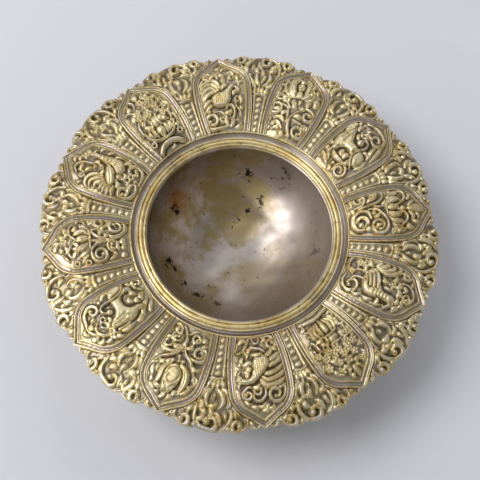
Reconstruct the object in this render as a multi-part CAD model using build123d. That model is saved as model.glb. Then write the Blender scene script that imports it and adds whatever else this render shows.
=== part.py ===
from build123d import *
import math
import os

# Offering bowl: a silver bowl with a wide, convex rim of framed petals. Millimetres.
# It stands on its foot at z = 0, round the Z axis, with petal 1 towards +Y.

# Bowl
mouth_radius = 65.6            # inside, below the turned lip
bowl_depth = 60.0              # lip face down to the inside bottom
bowl_wall = 1.0
base_radius = 12.0             # flat place at the bottom
lip_bend = 0.4                 # inside radius where the lip turns outwards
floor_gap = 5.0                # under the lowest point of the bowl

# Moulding on the turned lip
rib_count = 3
rib_width = 2.0
rib_gap = 0.5
rib_height = 1.6
moulding_base = 0.6            # strip that carries the ribs

# Collar that joins the bowl to the rim
collar_ledge = 3.0             # lap under the turned lip
channel_width = 3.0            # coved channel between moulding and rim
channel_sag = 0.7              # of the cove, below its chord
channel_rise = 1.4             # ledge up to the rim's inner edge
collar_lap = 5.0               # lap under the rim sheet
collar_wall = 1.0

# Rim sheet
rim_wall = 0.9
rim_crown = 4.5                # of the convex section, above its chord
rim_fall = 0.3                 # inner edge down to the crests
crest_reach = 2.4              # crests stand out past the petal tips
stem_height = 1.2              # raised stems and volutes, above the sheet
stem_gap = 0.5                 # beside the petal frames

# Scalloped edge between two petals, from a stem's axis outwards
crest_half_width = 10.0
crest_dip = 2.0                # notch beside the crest
volute_middle = 18.0
volute_drop = 0.5
volute_end = 25.5
volute_end_drop = 5.5
curl_middle = 29.0
curl_drop = 2.8
curl_end = 32.5
curl_end_drop = 5.5

# Raised volutes behind that edge
volute_radius = 5.2
volute_inset = 1.2             # from the edge
crest_spread = 4.6             # of the two middle volutes, off the stem's axis

# Petals
petal_count = 12
petal_setback = 0.6            # foot of a petal behind the rim's inner edge
petal_length = 63.0            # foot to tip
petal_foot_half_width = 17.0
petal_flare = 5.0              # gain in half width from the foot to the shoulder
shoulder_length = 16.0         # widest place to the ogee
ogee_half_width = 13.5
tip_length = 9.6               # ogee to tip
petal_wall = 0.9
frame_width = 5.0
frame_height = 2.2             # ribs of the frame, above the rim sheet
outer_rib_width = 1.3
inner_rib_width = 1.1
panel_edge = 1.3               # domed panel at its widest edge, above the rim sheet
dome_rise = 1.9                # panel's crown above that edge
dome_fall = 4.7                # over half the panel's length
dome_shift = 2.9               # crown beyond the middle of the panel

# Figures beaten up from the panels, drawn in mm across a petal and outwards from its foot
drawn_half_width = 17.0        # panel at which they are drawn
drawn_length = 63.0            # petal at which they are drawn
figure_height = 2.8            # above the panel
leaf_width = 4.0
stalk_width = 3.0
volute_tube = 2.4
volute_sweep = 285.0
fan_clear = 0.08               # share of a petal's length left free at the point it springs from
end_gap = 0.3                  # least half length between the round ends of a mass
flower_width = 5.6

# Foot
neck_radius = 30.0             # where the foot meets the bowl
foot_spread = 6.0              # neck out to the floor
foot_wall = 1.4
foot_edge_width = 3.0
foot_edge_height = 1.4

# Levels and radii that follow from these
pitch = 360 / petal_count
lip_level = floor_gap + bowl_wall + bowl_depth
ledge_level = lip_level - bowl_wall
bend_level = ledge_level - lip_bend
inner_depth = bowl_depth - bowl_wall - lip_bend
lip_inner = mouth_radius + bowl_wall + lip_bend
lip_outer = lip_inner + rib_count * rib_width + (rib_count - 1) * rib_gap
rim_inner = lip_outer + channel_width
rim_level = ledge_level + channel_rise
petal_foot = rim_inner + petal_setback
petal_tip = petal_foot + petal_length
ogee_reach = petal_tip - tip_length
shoulder_reach = ogee_reach - shoulder_length
petal_half_width = petal_foot_half_width + petal_flare
crest_radius = petal_tip + crest_reach
panel_half_width = petal_half_width - frame_width
panel_half_length = (ogee_reach - petal_foot) / 2
tall = 3 * lip_level           # taller than anything, for cutting

# Circle of the rim's convex section
rim_chord = math.hypot(crest_radius - rim_inner, rim_fall)
rim_bow = (rim_chord ** 2 / 4 + rim_crown ** 2) / (2 * rim_crown)
rim_slope = math.atan2(rim_fall, crest_radius - rim_inner)
rim_drop = rim_bow - rim_crown
rim_centre_radius = (rim_inner + crest_radius) / 2 - rim_drop * math.sin(rim_slope)
rim_centre_level = rim_level - rim_fall / 2 - rim_drop * math.cos(rim_slope)


def rim_height(radius):
    # Underside of the rim sheet at a radius.
    return rim_centre_level + math.sqrt(rim_bow ** 2 - (radius - rim_centre_radius) ** 2)


def rim_arc(first, last, lift):
    # Underside of the rim sheet between two radii, raised by lift.
    radii = (first, (first + last) / 2, last)
    return ThreePointArc(*[(radius, rim_height(radius) + lift) for radius in radii])


def ring(lines):
    # Solid of revolution from a closed profile of (radius, height).
    return revolve(Plane.XZ * make_face(lines), Axis.Z)


def rim_layer(low, high):
    # Everything between two heights above the rim's underside.
    first = rim_inner - 2 * frame_width
    last = crest_radius + frame_width
    lower = rim_arc(first, last, low)
    upper = rim_arc(first, last, high)
    return ring([lower, Line(lower @ 1, upper @ 1), upper, Line(upper @ 0, lower @ 0)])


def prism(face):
    return extrude(face, tall)


def turned(shape, steps):
    # Clockwise round the bowl by a number of petals.
    return Rot(0, 0, -pitch * steps) * shape


def bowl_curve(wall):
    # Half section of the bowl below its lip, from the bottom up: inside, or one wall further out.
    half_width = mouth_radius + wall - base_radius
    return EllipticalCenterArc((base_radius, bend_level), half_width, inner_depth + wall, -90, arc_size=90)


def bowl_filled():
    # Solid that fills the bowl out to its outer surface.
    outside = bowl_curve(bowl_wall)
    bottom = (outside @ 0).Y
    return ring([outside, Polyline(outside @ 1, (0, bend_level), (0, bottom), outside @ 0)])


def bowl():
    inside = bowl_curve(0)
    outside = bowl_curve(bowl_wall)
    bend_over = CenterArc((lip_inner, bend_level), lip_bend + bowl_wall, 180, -90)
    bend_under = CenterArc((lip_inner, bend_level), lip_bend, 180, -90)
    lip = Polyline(bend_over @ 1, (lip_outer, lip_level), (lip_outer, ledge_level), bend_under @ 1)
    base = Polyline(outside @ 0, (0, (outside @ 0).Y), (0, (inside @ 0).Y), inside @ 0)
    return ring([inside, outside, bend_over, bend_under, lip, base])


def lip_moulding():
    crown_level = lip_level + moulding_base
    edges = []
    start = (lip_inner, crown_level)
    for rib in range(rib_count):
        near = lip_inner + rib * (rib_width + rib_gap)
        far = near + rib_width
        if rib > 0:
            edges.append(Line(start, (near, crown_level)))
        crown = (near + rib_width / 2, crown_level + rib_height)
        edges.append(ThreePointArc((near, crown_level), crown, (far, crown_level)))
        start = (far, crown_level)
    base = Polyline(start, (lip_outer, lip_level), (lip_inner, lip_level), (lip_inner, crown_level))
    return ring(edges + [base])


def collar():
    def top(drop):
        ledge = (lip_outer - collar_ledge, ledge_level - drop)
        heel = (lip_outer, ledge_level - drop)
        cove = ((lip_outer + rim_inner) / 2, (ledge_level + rim_level) / 2 - channel_sag - drop)
        lap = rim_arc(rim_inner, rim_inner + collar_lap, -drop)
        return [Line(ledge, heel), ThreePointArc(heel, cove, lap @ 0), lap]

    upper = top(0)
    lower = top(collar_wall)
    ends = [Line(upper[0] @ 0, lower[0] @ 0), Line(upper[2] @ 1, lower[2] @ 1)]
    return ring(upper + lower + ends)


def petal_outline():
    # Flat outline, tip towards +Y, carried on inwards past the foot.
    run = shoulder_reach - petal_foot
    side_bow = (petal_flare ** 2 + run ** 2) / (2 * petal_flare)
    root = petal_foot - 2 * frame_width
    root_half = petal_half_width - side_bow + math.sqrt(side_bow ** 2 - (shoulder_reach - root) ** 2)
    widest = (petal_half_width, shoulder_reach)
    side = TangentArc(widest, (root_half, root), tangent=(0, -1))
    shoulder = TangentArc(widest, (ogee_half_width, ogee_reach), tangent=(0, 1))
    ogee = TangentArc(shoulder @ 1, (0, petal_tip), tangent=shoulder % 1)
    half = [side, shoulder, ogee]
    other_half = [mirror(line, about=Plane.YZ) for line in half]
    return make_face(half + other_half + [Line((root_half, root), (-root_half, root))])


def edge_point(across, drop):
    # Point of the scalloped edge, at a distance along it from a stem's axis.
    reach = crest_radius - drop
    angle = math.radians(90) - across / reach
    return (reach * math.cos(angle), reach * math.sin(angle))


def scalloped_edge():
    # Flat outline of the whole rim, with a crest between every two petals.
    half = [
        ThreePointArc(
            edge_point(crest_half_width, crest_dip),
            edge_point(volute_middle, volute_drop),
            edge_point(volute_end, volute_end_drop),
        ),
        ThreePointArc(
            edge_point(volute_end, volute_end_drop),
            edge_point(curl_middle, curl_drop),
            edge_point(curl_end, curl_end_drop),
        ),
    ]
    crest = ThreePointArc(
        edge_point(-crest_half_width, crest_dip),
        edge_point(0, 0),
        edge_point(crest_half_width, crest_dip),
    )
    scallop = half + [mirror(line, about=Plane.YZ) for line in half] + [crest]
    last = Vector(*edge_point(curl_end, curl_end_drop))
    following = Vector(*edge_point(-curl_end, curl_end_drop)).rotate(Axis.Z, -pitch)
    scallop.append(Line(last, following))
    edges = [turned(line, step + 0.5) for step in range(petal_count) for line in scallop]
    return make_face(edges)


def raised_stem():
    # Flat outline of one stem with its volutes, on the axis between two petals.
    reach = shoulder_reach
    strip = make_face(Polyline((0, 0), (reach / 2, reach), (-reach / 2, reach), close=True))
    strip -= Circle(rim_inner + petal_setback)
    clear = offset(petal_outline(), stem_gap)
    stem = strip - turned(clear, 0.5) - turned(clear, -0.5)
    inset = volute_radius + volute_inset
    for across, drop in ((crest_spread, 0), (volute_middle, volute_drop)):
        for side in (-1, 1):
            stem += Pos(*edge_point(side * across, drop + inset)) * Circle(volute_radius)
    return stem


def rim_sheet():
    edge = scalloped_edge() - Circle(rim_inner)
    stems = Sketch() + [turned(raised_stem(), step + 0.5) for step in range(petal_count)]
    field = Circle(crest_radius + stem_height) - stems
    thick = prism(edge) & rim_layer(0, rim_wall + stem_height)
    return thick - (prism(field) & rim_layer(rim_wall, rim_wall + 2 * stem_height))


# Crowned surface of a panel: an arch across, swung on a larger arc along the petal
dome_middle = petal_foot + panel_half_length + dome_shift
dome_crown = rim_height(dome_middle) + rim_wall + panel_edge + dome_rise
across_bow = (panel_half_width ** 2 + dome_rise ** 2) / (2 * dome_rise)
along_bow = (panel_half_length ** 2 + dome_fall ** 2) / (2 * dome_fall)


def dome(sink):
    # Solid under the panel's crowned surface, sunk by a depth square to that surface.
    half_angle = math.degrees(petal_half_width / across_bow)
    arch = CenterArc((0, dome_crown - across_bow), across_bow - sink, 90 - half_angle, 2 * half_angle)
    below = rim_level - frame_width
    right = (arch @ 0).X
    base = Polyline(arch @ 0, (right, below), (-right, below), arch @ 1)
    section = Pos(0, dome_middle, 0) * (Plane.XZ * make_face([arch, base]))
    axle = Axis((0, dome_middle, dome_crown - along_bow), (1, 0, 0))
    swing = math.degrees((petal_length + 2 * frame_width) / along_bow)
    return revolve(section.rotate(axle, -swing / 2), axle, swing)


def on_panel(across, along, sink=0):
    # Point of the panel's surface from its place in the drawing.
    x = across * panel_half_width / drawn_half_width
    y = petal_foot + along * petal_length / drawn_length
    arch_drop = across_bow - math.sqrt(across_bow ** 2 - x ** 2)
    rise = math.sqrt((along_bow - arch_drop) ** 2 - (y - dome_middle) ** 2)
    return Vector(x, y, dome_crown - along_bow + rise - sink)


def swell(start, end, width, height=figure_height):
    # Round-ended mass that lies along the panel between two points, sunk to stand out by its height.
    radius = width / 2
    run = on_panel(*end) - on_panel(*start)
    middle = on_panel((start[0] + end[0]) / 2, (start[1] + end[1]) / 2, radius - min(height, radius))
    straight = max(run.length / 2 - radius, end_gap)
    lower = CenterArc((0, -straight), radius, -90, 90)
    upper = CenterArc((0, straight), radius, 0, 90)
    side = Line(lower @ 1, upper @ 0)
    return Plane(middle, z_dir=run) * ring([lower, side, upper, Line(upper @ 1, lower @ 0)])


def leaf(start, end):
    return swell(start, end, leaf_width)


def stalk(start, end):
    return swell(start, end, stalk_width)


def volute(across, along, radius, opening):
    # Open ring on the panel, with its gap towards an angle.
    middle = on_panel(across, along)
    up = Vector(middle.X / across_bow, (middle.Y - dome_middle) / along_bow, 1)
    tube = Plane.XZ * (Pos(radius, 0) * Circle(volute_tube / 2))
    open_ring = revolve(tube, Axis.Z, volute_sweep)
    turn = opening + (360 - volute_sweep) / 2
    return Plane(middle, x_dir=Vector(1, 0, -up.X), z_dir=up) * (Rot(0, 0, turn) * open_ring)


def fan(root, tips, width):
    # Petals of an open flower, or feathers of a wing, that spread from near one point.
    shapes = []
    for tip in tips:
        start = [near + fan_clear * (far - near) for near, far in zip(root, tip)]
        shapes.append(swell(start, tip, width))
    return shapes


def flowers(spots):
    half = flower_width / 2
    return [swell((across - half, along), (across + half, along), flower_width) for across, along in spots]


def raised_wing_bird():
    wing = fan((-3.5, 30), [(-9, 40.5), (-15, 37.5), (-17, 31.5)], 5)
    tail = fan((-5, 23), [(-17, 16.5), (-14.5, 13.5)], 4.5)
    body = [swell((-10, 20.5), (6, 28.5), 10.5), swell((1.5, 25), (9.5, 37.5), 6)]
    leaves = [leaf((-9.5, 43), (-4.6, 51)), leaf((-2.5, 42), (0, 51)), leaf((7.5, 10), (3.4, 2.5))]
    scrolls = [volute(-9.6, 8.4, 4.2, 60), volute(7.3, 43.4, 2.8, -110), volute(10.4, 24, 2.6, 180)]
    return wing + tail + body + leaves + scrolls + [stalk((3, 19.5), (7.5, 9))]


def blown_lotus():
    petals = fan((0.6, 33.5), [(-13, 46), (-6, 53), (1.5, 54), (15.5, 41.5)], 6)
    heart = [swell((-1.8, 38.4), (-1.4, 48.4), 7.2)]
    leaves = [leaf((-2.5, 6.5), (-12, 11.5)), leaf((-2.5, 12), (-12.5, 15)), leaf((12, 31), (15, 39))]
    scrolls = [volute(-13, 22, 4, -30), volute(11.6, 22.8, 4, 200), volute(8.8, 9.2, 4.4, 160)]
    return petals + heart + leaves + scrolls + [stalk((2.4, 3), (-3.5, 22)), volute(-15.6, 35, 3, 200)]


def lion(across, along):
    # Standing lion that looks left, moved from its place on the ninth petal.
    def mass(start, end, width):
        return swell((start[0] + across, start[1] + along), (end[0] + across, end[1] + along), width)

    trunk = [mass((-9.5, 23.5), (12, 23.5), 9), mass((12, 28), (15, 14.5), 9)]
    head = [mass((-10, 37), (-6, 16.5), 9.5), mass((-16, 33.5), (-7, 40), 6.5)]
    legs = [mass((-6, 20), (-6.5, 7.5), 4), mass((10, 19), (8.5, 9.5), 4.5)]
    return trunk + head + legs


def left_lion():
    tail = [stalk((3, 22), (5.8, 35)), volute(2, 34, 2.8, -60)]
    leaves = [leaf((-15.5, 13), (-3.5, 4)), leaf((11, 43), (14.5, 29)), leaf((-13, 43), (-9, 50))]
    return lion(-4.4, 1.6) + tail + leaves + [volute(5.4, 44.2, 4.6, 200), volute(6.6, 7.2, 3.8, 120)]


def open_lotus():
    petals = fan((-2, 29), [(-15.5, 39), (-9, 40.5), (-2.6, 40), (2, 40), (12.5, 38.5)], 4.8)
    heart = [swell((-2, 42), (-0.6, 56.5), 6)]
    leaves = [leaf((-3, 44), (-9, 50.5)), leaf((0.5, 44), (9, 46)), leaf((13, 29), (13.2, 41))]
    scrolls = [volute(-14, 20, 3.2, -20), volute(9.2, 21.2, 4.8, 150)]
    scrolls += [volute(5, 8.8, 4.4, 170), volute(-11.4, 9, 3.6, 0)]
    return petals + heart + leaves + scrolls + [stalk((0.5, 3), (-8, 23))]


def standing_goose():
    body = [swell((-11, 20), (11.5, 23.5), 13), swell((7.4, 21), (7.8, 42), 6.5)]
    head = [swell((4, 40.5), (13.5, 38.5), 5), stalk((11.5, 39.5), (17, 33.5))]
    tail = fan((-8.5, 22), [(-15, 38), (-19, 33), (-19, 26)], 4.5)
    legs = [stalk((-4.8, 17), (-4.6, 8)), stalk((0.6, 16), (1.4, 7.5))]
    scrolls = [volute(6.8, 8.2, 4.4, 120), volute(-10.4, 7.4, 4.2, 60)]
    scrolls += [volute(1, 48.4, 4, 200), volute(-13, 43.6, 2.8, 20)]
    return body + head + tail + legs + scrolls + [leaf((12.5, 28), (12, 15))]


def flower_vase():
    body = [swell((-14, 14), (11, 14), 13.5), swell((-1.8, 16), (-1.8, 28), 9), swell((-13, 4), (10.5, 4), 5)]
    lip = [stalk((-8, 26.8), (4.6, 26.8))]
    handles = [volute(-11.4, 23.4, 3, -90), volute(8.4, 23.4, 3, -90)]
    bunch = flowers([(-10.8, 45), (6.6, 45), (-2, 41), (-9, 38), (5, 38.6), (12.6, 38)])
    bunch += flowers([(-15.4, 36), (-2, 34.6), (-8, 31.6), (4.6, 32.6), (11, 31.6), (-13.4, 30.4)])
    return body + lip + bunch + handles + [leaf((-2, 45), (-1.6, 55))]


def swept_wing_bird():
    body = [swell((-6, 13.5), (4, 32), 9.5), swell((2, 28.5), (13.5, 32), 5.5), stalk((11, 31), (16.5, 28.5))]
    wing = fan((1, 29.5), [(-16, 34.5), (-18, 27), (-17.5, 21)], 5)
    tail = fan((-2, 20), [(-17.5, 14.5), (-11, 9.5)], 4.5)
    scrolls = [volute(-9.6, 41.6, 4.4, -60), volute(9.6, 40.8, 4, 200)]
    scrolls += [volute(1.6, 41.4, 3.2, -90), volute(-9.6, 6.6, 3.8, 40)]
    return body + wing + tail + scrolls + [stalk((4.6, 2.5), (15, 13)), leaf((11, 14), (11, 23))]


def closed_lotus():
    bud = [swell((0.4, 27), (0.8, 54), 12)] + fan((1, 27.5), [(-9.5, 48.5), (10, 48.5)], 5)
    scrolls = [volute(-10.6, 17.4, 4.8, -45), volute(12, 17.2, 4.6, 225)]
    scrolls += [volute(-5.4, 7.4, 3, 0), volute(9, 9.4, 3, 180)]
    leaves = [leaf((-9, 47), (-15.4, 36)), leaf((12.6, 43), (15.2, 33))]
    stalks = [stalk((1, 23), (3.5, 3)), stalk((-2, 21), (-15.5, 33)), stalk((3, 22), (15.5, 31.5))]
    return bud + scrolls + leaves + stalks


def right_lion():
    tail = [stalk((9.4, 21), (9.2, 34)), volute(6, 32.6, 2.8, -90)]
    leaves = [leaf((-13, 13), (-3, 3)), leaf((3, 8.5), (10, 11)), leaf((-8.6, 39), (-3, 46))]
    leaves += [leaf((13, 32), (16.5, 24)), leaf((-5, 47), (6, 49.5))]
    return lion(0, 0) + tail + leaves + [volute(9.8, 41.4, 4.4, 200), volute(9.6, 4.6, 3, -90)]


def wide_lotus():
    petals = fan((2.2, 27.4), [(-15, 33.4), (-10.4, 38), (-3.6, 41.6), (2.8, 40.4), (8, 41), (15, 36.4)], 4.8)
    heart = flowers([(2, 45.6)]) + [leaf((2.7, 38), (0.7, 55.4)), leaf((-7, 47.4), (1.4, 46.4))]
    scrolls = [volute(-9.2, 20.6, 4.7, -20), volute(13.4, 20.2, 3.7, 120)]
    scrolls += [volute(10.2, 9, 4.5, 150), volute(-4.2, 11.4, 3.3, -90)]
    leaves = [leaf((-12, 5), (-3.5, 5)), leaf((-8.5, 9.5), (-13.6, 16))]
    return petals + heart + scrolls + leaves + [stalk((1, 29), (1.6, 9))]


def plumed_rooster():
    body = [swell((-9, 18), (13, 21.4), 9.5), swell((8.8, 17.4), (9.2, 44), 7), stalk((6.6, 41.6), (9, 49.5))]
    tail = fan((-5.5, 20.5), [(-8, 38.5), (-14.5, 36), (-17, 28.5), (-17, 20.5)], 4.8)
    legs = [stalk((-0.2, 19), (-1, 8))]
    scrolls = [volute(-9, 8.6, 4.2, 60), volute(8.6, 8.6, 4.2, 120), volute(-8.4, 43.4, 3, -60)]
    leaves = [leaf((12.6, 38), (17.4, 30)), leaf((12.8, 28), (14.6, 16.5)), leaf((2.4, 35), (-5, 50))]
    return body + tail + legs + scrolls + leaves


def handled_vase():
    body = [swell((-13.6, 15.2), (11.2, 15.8), 12.5), swell((-1.4, 17.4), (-1.8, 32), 8)]
    ends = [swell((-11, 4.4), (9, 4.8), 6), stalk((-7, 31), (4, 31.4))]
    handles = [volute(-11.4, 25.8, 4.2, -120), volute(9.4, 26, 4.2, -60)]
    bunch = flowers([(-7.4, 38.4), (-1, 35.6), (5.6, 34.6), (0, 40.4), (6.4, 39)])
    bunch += flowers([(12, 39.4), (-1.6, 45.4), (6.4, 45), (12, 33.6)])
    leaves = [leaf((-2.4, 47), (-0.6, 56.5)), leaf((-9.2, 39.4), (-14.2, 31.6))]
    return body + ends + handles + bunch + leaves + [leaf((-11.4, 47.6), (-6.6, 42.4))]


figures = [
    raised_wing_bird,
    blown_lotus,
    left_lion,
    open_lotus,
    standing_goose,
    flower_vase,
    swept_wing_bird,
    closed_lotus,
    right_lion,
    wide_lotus,
    plumed_rooster,
    handled_vase,
]


def petal_frame():
    # Two ribs with a groove between them, round the panel and seated on the rim sheet.
    outline = petal_outline()
    groove_face = offset(outline, -outer_rib_width) - offset(outline, inner_rib_width - frame_width)
    frame = prism(outline - offset(outline, -frame_width)) & rim_layer(rim_wall, rim_wall + frame_height)
    frame -= prism(groove_face) & rim_layer(rim_wall + petal_wall, rim_wall + 2 * frame_height)
    return frame - Cylinder(petal_foot, tall)


def panel_layer(low, high):
    # Everything over a panel between two heights from its surface.
    layer = (dome(-high) - dome(-low)) & prism(offset(petal_outline(), -frame_width))
    return layer - Cylinder(petal_foot, tall)


def petal(plate, room, figure):
    # Framed plate, hollow behind, with its figure raised from the panel.
    masses = Part() + figure()
    return plate + (masses & room)


def foot_ring():
    share = (neck_radius - base_radius) / (mouth_radius + bowl_wall - base_radius)
    join = bend_level - (inner_depth + bowl_wall) * math.sqrt(1 - share ** 2)
    outer = neck_radius + foot_spread
    neck_top = (neck_radius, join + foot_wall)
    neck_inside = (neck_radius - foot_wall, join + foot_wall)
    edge_top = (outer, foot_edge_height)
    edge_inside = (outer - foot_edge_width, 0)
    cove = TangentArc(neck_top, edge_top, tangent=(0, -1))
    under = TangentArc(neck_inside, edge_inside, tangent=(0, -1))
    rest = Polyline(edge_top, (outer, 0), edge_inside)
    return ring([cove, under, rest, Line(neck_top, neck_inside)]) - bowl_filled()


pieces = {
    "bowl": bowl(),
    "lip_moulding": lip_moulding(),
    "collar": collar(),
    "rim_sheet": rim_sheet(),
    "foot_ring": foot_ring(),
}
panel = panel_layer(-petal_wall, 0) & rim_layer(rim_wall, rim_wall + tall)
plate = petal_frame() + panel
room = panel_layer(-petal_wall / 2, 2 * figure_height)
for number, figure in enumerate(figures):
    pieces[f"petal_{number + 1:02d}"] = turned(petal(plate, room, figure), number)

os.makedirs("parts", exist_ok=True)
for name, piece in pieces.items():
    export_step(piece, f"parts/{name}.step")
    print(name, len(piece.solids()), "solid")
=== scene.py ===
import bpy
import math
import numpy as np
from mathutils import Matrix, Vector


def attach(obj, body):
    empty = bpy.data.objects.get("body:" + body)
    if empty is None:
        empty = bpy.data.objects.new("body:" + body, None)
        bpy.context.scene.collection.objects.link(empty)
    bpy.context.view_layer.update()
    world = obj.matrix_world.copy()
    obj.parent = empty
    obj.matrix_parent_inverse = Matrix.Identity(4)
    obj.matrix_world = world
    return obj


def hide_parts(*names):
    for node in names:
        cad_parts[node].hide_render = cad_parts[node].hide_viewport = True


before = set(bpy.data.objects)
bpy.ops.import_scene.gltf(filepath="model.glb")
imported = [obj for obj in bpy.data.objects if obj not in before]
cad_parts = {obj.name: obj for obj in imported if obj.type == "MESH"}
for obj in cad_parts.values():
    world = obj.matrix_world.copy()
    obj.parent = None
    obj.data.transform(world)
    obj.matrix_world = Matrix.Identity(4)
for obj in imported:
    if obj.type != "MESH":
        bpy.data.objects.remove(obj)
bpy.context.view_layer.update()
print("frame loaded:", len(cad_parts), "nodes")

mm = 0.001
fullTurn = 2 * math.pi
petalCount = 12

# Sizes in millimetres, on the same axis as the solids
levels = {
    "lip": 66.0,               # top of the bowl's flange
    "ledge": 65.0,             # its underside
    "rimInner": 77.0,
    "crest": 143.0,            # farthest reach of the rim
    "rimWall": 0.9,
    "rimBow": 123.25,          # circle of the rim's convex section
    "rimCentreRadius": 109.46,
    "rimCentreLevel": -52.5,
}


def rimTop(radius):
    out = radius - levels["rimCentreRadius"]
    return levels["rimCentreLevel"] + np.sqrt(levels["rimBow"] ** 2 - out ** 2) + levels["rimWall"]


def rimTopAt(x, y):
    return rimTop(np.hypot(x, y))


def turned(points, steps):
    # clockwise round the bowl by a number of petals
    angle = -fullTurn / petalCount * steps
    c, s = math.cos(angle), math.sin(angle)
    return points @ np.array([[c, s, 0], [-s, c, 0], [0, 0, 1]])


def smoothStep(value, low, high):
    share = np.clip((value - low) / (high - low), 0, 1)
    return share * share * (3 - 2 * share)


def wobble(size, seed, x, y, z=0.0):
    # gentle unevenness of hand-beaten metal, about -1 to 1
    waves, loudest = 7, 3.2
    rng = np.random.default_rng(seed)
    total = np.zeros(np.shape(x))
    for _ in range(waves):
        way = rng.normal(size=3)
        way *= fullTurn / size / np.linalg.norm(way) * rng.uniform(0.7, 1.5)
        total = total + np.sin(x * way[0] + y * way[1] + z * way[2] + rng.uniform(0, 6.28))
    return total / loudest


def softened(field, reach):
    # blur of a height field, in grid steps
    pad = 3 * reach
    bell = np.exp(-0.5 * (np.arange(-pad, pad + 1) / reach) ** 2)
    bell /= bell.sum()
    for axis in (0, 1):
        width = [(pad, pad) if way == axis else (0, 0) for way in (0, 1)]
        grown = np.pad(field, width, mode="edge")
        field = np.apply_along_axis(lambda row: np.convolve(row, bell, "valid"), axis, grown)
    return field


def gapToLine(x, y, line):
    gap = np.full(x.shape, 1e9)
    for start, end in zip(line[:-1], line[1:]):
        run = end - start
        dx, dy = x - start[0], y - start[1]
        share = np.clip((dx * run[0] + dy * run[1]) / max(run @ run, 1e-9), 0, 1)
        gap = np.minimum(gap, (dx - share * run[0]) ** 2 + (dy - share * run[1]) ** 2)
    return np.sqrt(gap)


def circleLine(radius, level, count):
    angle = np.linspace(0, fullTurn, count, endpoint=False)
    return np.stack([radius * np.cos(angle), radius * np.sin(angle), np.full(count, level)], 1)


def addObject(name, data):
    made = bpy.data.objects.new(name, data)
    bpy.context.collection.objects.link(made)
    return made


def meshObject(name, points, faces, finish, marks):
    # marks: one value for each point, or one for all, that the finishes read
    mesh = bpy.data.meshes.new(name)
    mesh.from_pydata((np.asarray(points) * mm).tolist(), [], faces, shade_flat=False)
    for label, values in marks.items():
        mark = mesh.attributes.new(label, "FLOAT", "POINT")
        mark.data.foreach_set("value", np.broadcast_to(values, len(points)).astype(np.float32))
    mesh.materials.append(finish)
    mesh.update()
    return addObject(name, mesh)


def joined(name, parts):
    # several meshes made one piece, marks kept
    bpy.ops.object.select_all(action="DESELECT")
    for part in parts:
        part.select_set(True)
    bpy.context.view_layer.objects.active = parts[0]
    bpy.ops.object.join()
    parts[0].name = name
    parts[0].data.name = name
    return parts[0]


def gridQuads(index):
    # corners of each cell of a grid, anticlockwise from above
    return np.stack([index[:-1, :-1], index[:-1, 1:], index[1:, 1:], index[1:, :-1]], -1)


def lathe(profile, segments):
    # closed ring of (radius, level) points swept round the axis
    profile = np.asarray(profile, float)
    count = len(profile)
    angle = np.linspace(0, fullTurn, segments, endpoint=False)
    x, y = np.outer(np.cos(angle), profile[:, 0]), np.outer(np.sin(angle), profile[:, 0])
    points = np.stack([x, y, np.broadcast_to(profile[:, 1], x.shape)], -1).reshape(-1, 3)
    index = np.arange(segments * count).reshape(segments, count)
    pole = profile[:, 0] == 0
    index[:, pole] = index[0, pole]      # one point at a pole
    after = np.roll(index, -1, 0)
    quads = np.stack([index, np.roll(index, -1, 1), np.roll(after, -1, 1), after], -1).reshape(-1, 4)
    faces = [list(dict.fromkeys(quad)) for quad in quads.tolist()]
    faces = [face for face in faces if len(face) > 2]
    used, order = np.unique(np.concatenate(faces), return_inverse=True)
    ends = np.cumsum([len(face) for face in faces])[:-1]
    return points[used], [part.tolist() for part in np.split(order, ends)]


def tint(*screen):
    # screen colour, none near black, on the renderer's own scale
    return tuple(((v / 255 + 0.055) / 1.055) ** 2.4 for v in screen) + (1.0,)


def addNode(tree, kind, inputs=None, **settings):
    made = tree.nodes.new(kind)
    for key, value in settings.items():
        setattr(made, key, value)
    for key, value in (inputs or {}).items():
        if isinstance(value, bpy.types.NodeSocket):
            tree.links.new(value, made.inputs[key])
        else:
            made.inputs[key].default_value = value
    return made


def noiseAt(tree, where, scale, detail, rough=0.55):
    inputs = {"Vector": where, "Scale": scale, "Detail": detail, "Roughness": rough}
    return addNode(tree, "ShaderNodeTexNoise", inputs).outputs["Fac"]


def noisesOf(tree, where, look, keys):
    return [noiseAt(tree, where, *look[key]) for key in keys]


def spread(tree, value, low, high, toLow=0.0, toHigh=1.0):
    inputs = {"Value": value, "From Min": low, "From Max": high, "To Min": toLow, "To Max": toHigh}
    return addNode(tree, "ShaderNodeMapRange", inputs, interpolation_type="SMOOTHSTEP").outputs["Result"]


def blend(tree, share, first, second):
    return addNode(tree, "ShaderNodeMix", {0: share, 6: first, 7: second}, data_type="RGBA").outputs[2]


def calc(tree, operation, first, second, clamp=False):
    made = addNode(tree, "ShaderNodeMath", {0: first, 1: second}, operation=operation, use_clamp=clamp)
    return made.outputs[0]


def weighed(tree, first, firstShare, second, secondShare):
    first = calc(tree, "MULTIPLY", first, firstShare)
    return calc(tree, "ADD", first, calc(tree, "MULTIPLY", second, secondShare))


def lookGroup(name, marks):
    # takes places and marks, gives colour, roughness and height
    tree = bpy.data.node_groups.new(name, "ShaderNodeTree")
    tree.interface.new_socket("Where", in_out="INPUT", socket_type="NodeSocketVector")
    for label, value in marks.items():
        socket = tree.interface.new_socket(label, in_out="INPUT", socket_type="NodeSocketFloat")
        socket.default_value = value
    for label, kind in (("Color", "Color"), ("Roughness", "Float"), ("Height", "Float")):
        tree.interface.new_socket(label, in_out="OUTPUT", socket_type="NodeSocket" + kind)
    return tree, addNode(tree, "NodeGroupInput").outputs


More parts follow.
